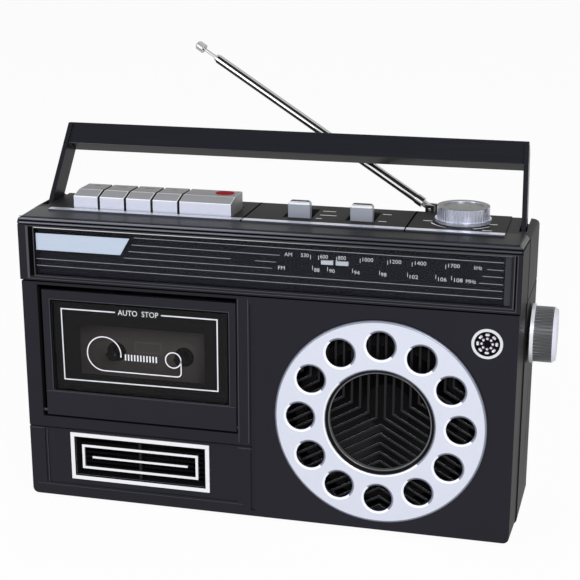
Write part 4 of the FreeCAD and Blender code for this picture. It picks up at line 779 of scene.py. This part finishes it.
key_front_lit = key_silver("key_silver", (0.69, 0.71, 0.82), 0.36, coat=0.15, coat_roughness=0.2)
key_front_lit.bump(key_front_lit.noise(2400.0), 0.03, 0.05 * MM)
key_shaded_top = key_silver("key_top_silver", (0.215, 0.205, 0.203), 0.4)
key_shaded_slope = key_silver("key_slope_silver", (0.31, 0.31, 0.33), 0.38)
key_symbol = key_silver("key_symbol_silver", (0.13, 0.125, 0.125), 0.4)
key_side_shade = key_silver("key_side_silver", (0.05, 0.05, 0.055), 0.5, metallic=0.1, specular=0.1)
key_edge_highlight = key_silver("key_edge_silver", (0.97, 0.97, 1.0), 0.3)
key_end_shade = key_silver("key_end_silver", (0.23, 0.225, 0.23), 0.4)
# The front is painted as the lit tone, the tops, slopes and the record key's end darker as painted shade, the
# sides between keys near black as shade, and the front edges a painted highlight.
for name in ("stop_key", "forward_key", "rewind_key", "play_key", "record_key"):
    dress(name, key_front_lit, bevel=0.00035, sharp=12.0, regions=[
        (key_side_shade, lambda centre, normal: abs(normal.x) > 0.4 and (name != "record_key" or normal.x < 0)),
        (key_end_shade, lambda centre, normal: normal.x > 0.9 and name == "record_key"),
        (key_edge_highlight, lambda centre, normal: normal.z > 0.05 and normal.y < -0.02 and abs(normal.x) < 0.3),
        (key_shaded_slope, lambda centre, normal: normal.y < 0 and 0.955 < normal.z < 0.972),
        (key_shaded_top, lambda centre, normal: normal.z > 0.999)])
record_red = Paint("record_red", (0.30, 0.002, 0.010), 0.55, specular=0.02)
record_red.wear(record_red.noise(300.0), 0.1)
coat(record_red, "record_mark")

# The outlines of the symbols are in millimetres about the middle of each.
SYMBOL_SINK, SYMBOL_RISE = -0.1 * MM, 0.1 * MM
SYMBOL_Y = 0.006
square = [(-1.5, -1.5), (1.5, -1.5), (1.5, 1.5), (-1.5, 1.5)]
right_arrow = [(-1.3, -1.6), (1.5, 0), (-1.3, 1.6)]
symbols = {
    "stop_key": [square],
    "forward_key": [[(x + shift, y) for x, y in right_arrow] for shift in (-1.5, 1.5)],
    "rewind_key": [[(shift - x, y) for x, y in reversed(right_arrow)] for shift in (-1.5, 1.5)],
    "play_key": [right_arrow],
}
for node, outlines in symbols.items():
    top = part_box(node)[1][2]
    middle = middle_of(node, "X")[0]
    for number, outline in enumerate(outlines):
        count = len(outline)
        verts = [(middle + x * MM, SYMBOL_Y + y * MM, top + rise) for rise in (SYMBOL_SINK, SYMBOL_RISE)
                 for x, y in outline]
        faces = [tuple(range(count, 2 * count)), tuple(reversed(range(count)))] + [
            (side, (side + 1) % count, count + (side + 1) % count, count + side) for side in range(count)]
        add_mesh(f"{node}_symbol_{number}", verts, faces, key_symbol, body_of(node), slot_of(node),
                 bevel=0.00005)

# ---- Levers ----
# Two sliding caps in silver-painted plastic, with a fine upright brushing.
# They run in slots of the middle panel and push the switches below it.

lever_lacquer = {"scale": 500.0, "metallic": 0.35}
lever_paint = metal("lever_silver", (0.34, 0.36, 0.42), 0.34, change=0.2, stretch=(1, 1, 0.06),
                    **lever_lacquer)
lever_highlight = metal("lever_edge_silver", (0.98, 0.98, 1.0), 0.3, **lever_lacquer)
lever_shaded_top = metal("lever_top_silver", (0.03, 0.028, 0.028), 0.5, **lever_lacquer)
# Edges that look up and to the front, and a band under the top of the front, are painted as highlights; the
# tops are painted near black as shade.
for name in ("function_lever", "band_lever"):
    dress(name, lever_paint, bevel=0.0006, segments=3, regions=[
        (lever_highlight, lambda centre, normal: normal.y < -0.15 and normal.z > 0.15),
        (lever_shaded_top, lambda centre, normal: normal.z > 0.9 and normal.y > -0.15)])
    low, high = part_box(name)
    block(f"{name}_band", (low[0] + 0.5 * MM, high[0] - 0.5 * MM), span(-0.06, 0.2, low[1]),
          span(-1.8, -0.6, high[2]), lever_highlight, body_of(name), slot_of(name), bevel=0.00005)

# ---- Knobs ----
# Turned aluminium caps with finely ribbed sides: volume on top, tuning on the right side.
# Each is pressed on its shaft, with a flange next to the cabinet, painted bright as a highlight.

knob_metal = metal("knob_metal", (0.52, 0.54, 0.63), 0.28, scale=300.0, metallic=0.7, stretch=(1, 1, 0.2))
# The knobs' tops and the tuning knob's grip are painted dark as shade, the flanges bright as a highlight, and
# the tuning knob's end a pale lit tone.
knob_face = metal("knob_face", (0.12, 0.117, 0.116), 0.35, scale=300.0, metallic=0.5)
knob_bright = metal("knob_bright", (0.86, 0.87, 0.91), 0.25, scale=300.0, metallic=0.6)
knob_end = metal("knob_end", (0.72, 0.72, 0.82), 0.35, scale=300.0, metallic=0.1, specular=0.2)
knob_grip = metal("knob_grip", (0.085, 0.085, 0.09), 0.34, scale=300.0, metallic=0.6, stretch=(0.2, 1, 1))
FLANGE_TOP, FACE_FLOOR = span(-10.1, -2.0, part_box("volume_knob")[1][2])
dress("volume_knob", knob_metal, bevel=0.0002, regions=[
    (knob_bright, lambda centre, normal: centre.z < FLANGE_TOP),
    (knob_face, lambda centre, normal: normal.z > 0.95 and centre.z > FACE_FLOOR)])
tuning_low, tuning_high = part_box("tuning_knob")
GRIP_START = tuning_low[0] + 2.1 * MM
GRIP_END = tuning_high[0] - 2.2 * MM
dress("tuning_knob", knob_metal, bevel=0.0002, regions=[
    (knob_grip, lambda centre, normal: GRIP_START < centre.x < GRIP_END and abs(normal.x) < 0.5),
    (knob_end, lambda centre, normal: centre.x > GRIP_END),
    (knob_bright, lambda centre, normal: centre.x < GRIP_START)])

# ---- Handle ----
# One black moulding that hinges on two pins inside slots at the ends of the cabinet.
# Its bar has a fine lengthwise grain.

handle_paint = plastic("handle_plastic", (0.0062, 0.0065, 0.0098), 0.3, specular=0.1)
handle_paint.bump(handle_paint.noise(900.0, 3.0, (0.04, 1, 1)), 0.35, 0.2 * MM)
handle_paint.tint(handle_paint.noise(700.0, 3.0, (0.03, 1, 1)), (0.011, 0.0115, 0.0165))
# Front faces of the bar that look a little down are painted lighter as a highlight, brightest at the left; the
# underside gets a lighter, warmer painted tone of light.
handle_edge = plastic("handle_edge", (0.020, 0.020, 0.025), 0.25)
handle_edge.tint(handle_edge.along("X", 0.10, -0.13), (0.13, 0.13, 0.15))
handle_under = plastic("handle_under", (0.017, 0.0125, 0.0105), 0.3, specular=0.1)
dress("handle", handle_paint, bevel=0.001, segments=3, sharp=40, regions=[
    (handle_edge, lambda centre, normal: normal.y < -0.9 and -0.45 < normal.z < 0.0),
    (handle_under, lambda centre, normal: normal.z < -0.7)])

# ---- Antenna ----
# Nested chrome-plated brass tubes on an elbow, with a turned button on the end.
# The elbow tilts in a dark turret, which swivels on the top of the cabinet.

antenna_chrome = metal("antenna_chrome", (0.42, 0.42, 0.43), 0.14, scale=200.0, metallic=1.0, change=0.08)
tube_dark = metal("tube_dark", (0.012, 0.011, 0.012), 0.35, scale=200.0, metallic=0.05, change=0.08,
                  specular=0.1)
tube_bright = metal("tube_bright", (0.92, 0.92, 0.93), 0.1, scale=200.0, metallic=0.8, change=0.08)
run_x, run_z = (tip - tube for tip, tube in zip(middle_of("antenna_tip", "XZ"),
                                                middle_of("antenna_tube", "XZ")))
run = math.hypot(run_x, run_z)


def faces_up(normal, low, high):
    """Whether a face of the tube looks up by a share between limits, square to the tube's length."""
    return low < (normal.x * run_z - normal.z * run_x) / run <= high


# Painted reflections round the tube and elbow: a bright stripe along the middle of the side and dark stripes
# above and below it, with the chrome kept only on top.
for name in ("antenna_tube", "antenna_elbow"):
    dress(name, antenna_chrome, bevel=0.0002, regions=[
        (tube_dark, lambda centre, normal: faces_up(normal, 0.3, 0.75)),
        (tube_bright, lambda centre, normal: faces_up(normal, -0.2, 0.3)),
        (tube_dark, lambda centre, normal: faces_up(normal, -1.1, -0.2))])
for name in ("antenna_rod", "antenna_tip"):
    dress(name, antenna_chrome, bevel=0.0002)
joint_dark = metal("antenna_joint", (0.03, 0.03, 0.032), 0.35, scale=200.0, metallic=0.8, change=0.08)
dress("antenna_turret", joint_dark, bevel=0.0002)
coat(antenna_chrome, "antenna_middle")

# ---- Stage ----
# A plain pale floor, a white surround and three soft studio lamps.
# The camera looks from the front, from a little above and to the right.


def white_seen(graph, shaded, white, share, output):
    """Show the white shader to the camera and in reflections and glass, and the shaded one to the rest."""
    seen = graph.node("ShaderNodeLightPath", "Is Camera Ray")
    for ray in ("Is Glossy Ray", "Is Transmission Ray"):
        seen = seen.maths("MAXIMUM", graph.node("ShaderNodeLightPath", ray))
    graph.lead(graph.node("ShaderNodeMixShader", inputs=(seen * share, shaded, white)), output, "Surface")


FLOOR_HALF = 4
FLOOR_SHARE = 0.95
floor_paint = Paint("floor_pale", (0.92, 0.92, 0.92), 0.9, specular=0.0)
white_seen(floor_paint, floor_paint.shader, floor_paint.node("ShaderNodeEmission"), FLOOR_SHARE,
           "Material Output")
corners = [(x * FLOOR_HALF, y * FLOOR_HALF, 0) for x, y in ((-1, -1), (1, -1), (1, 1), (-1, 1))]
floor_mesh = bpy.data.meshes.new("floor")
floor_mesh.from_pydata(corners, [], [(0, 1, 2, 3)])
floor_mesh.materials.append(floor_paint.material)
floor = bpy.data.objects.new("floor", floor_mesh)
bpy.context.scene.collection.objects.link(floor)

SKY_LIGHT = 0.28
world = bpy.data.worlds.new("studio")
bpy.context.scene.world = world
world.use_nodes = True
surround = Graph(world.node_tree)
sky, white = (surround.node("ShaderNodeBackground", inputs={"Color": (1, 1, 1, 1), "Strength": strength})
              for strength in (SKY_LIGHT, 1.0))
white_seen(surround, sky, white, 1.0, "World Output")

AIM = Vector((0, 0, 0.1))


def lamp(name, spot, size, power, color):
    """A soft rectangular lamp that faces the middle of the set."""
    light = bpy.data.lights.new(name, "AREA")
    light.shape = "RECTANGLE"
    light.size, light.size_y = size
    light.energy = power
    light.color = color
    item = bpy.data.objects.new(name, light)
    item.location = spot
    item.rotation_euler = (AIM - Vector(spot)).to_track_quat("-Z", "Y").to_euler()
    bpy.context.scene.collection.objects.link(item)


lamp("key_light", (0.9, -1.9, 1.4), (1.0, 1.0), 46, (0.95, 0.97, 1.0))
lamp("fill_light", (-1.6, -1.5, 0.8), (1.0, 1.4), 14, (0.95, 0.97, 1.0))
lamp("top_light", (0.1, 0.5, 2.2), (1.6, 1.2), 2, (1.0, 0.98, 0.96))

camera = bpy.data.cameras.new("camera")
camera.lens = 84.87
camera.sensor_width = 36
viewer = bpy.data.objects.new("camera", camera)
viewer.location = (0.19509, -0.74927, 0.35804)
viewer.rotation_euler = (math.radians(73.644), 0, math.radians(14.015))
bpy.context.scene.collection.objects.link(viewer)
bpy.context.scene.camera = viewer
bpy.context.scene.view_settings.view_transform = "Standard"
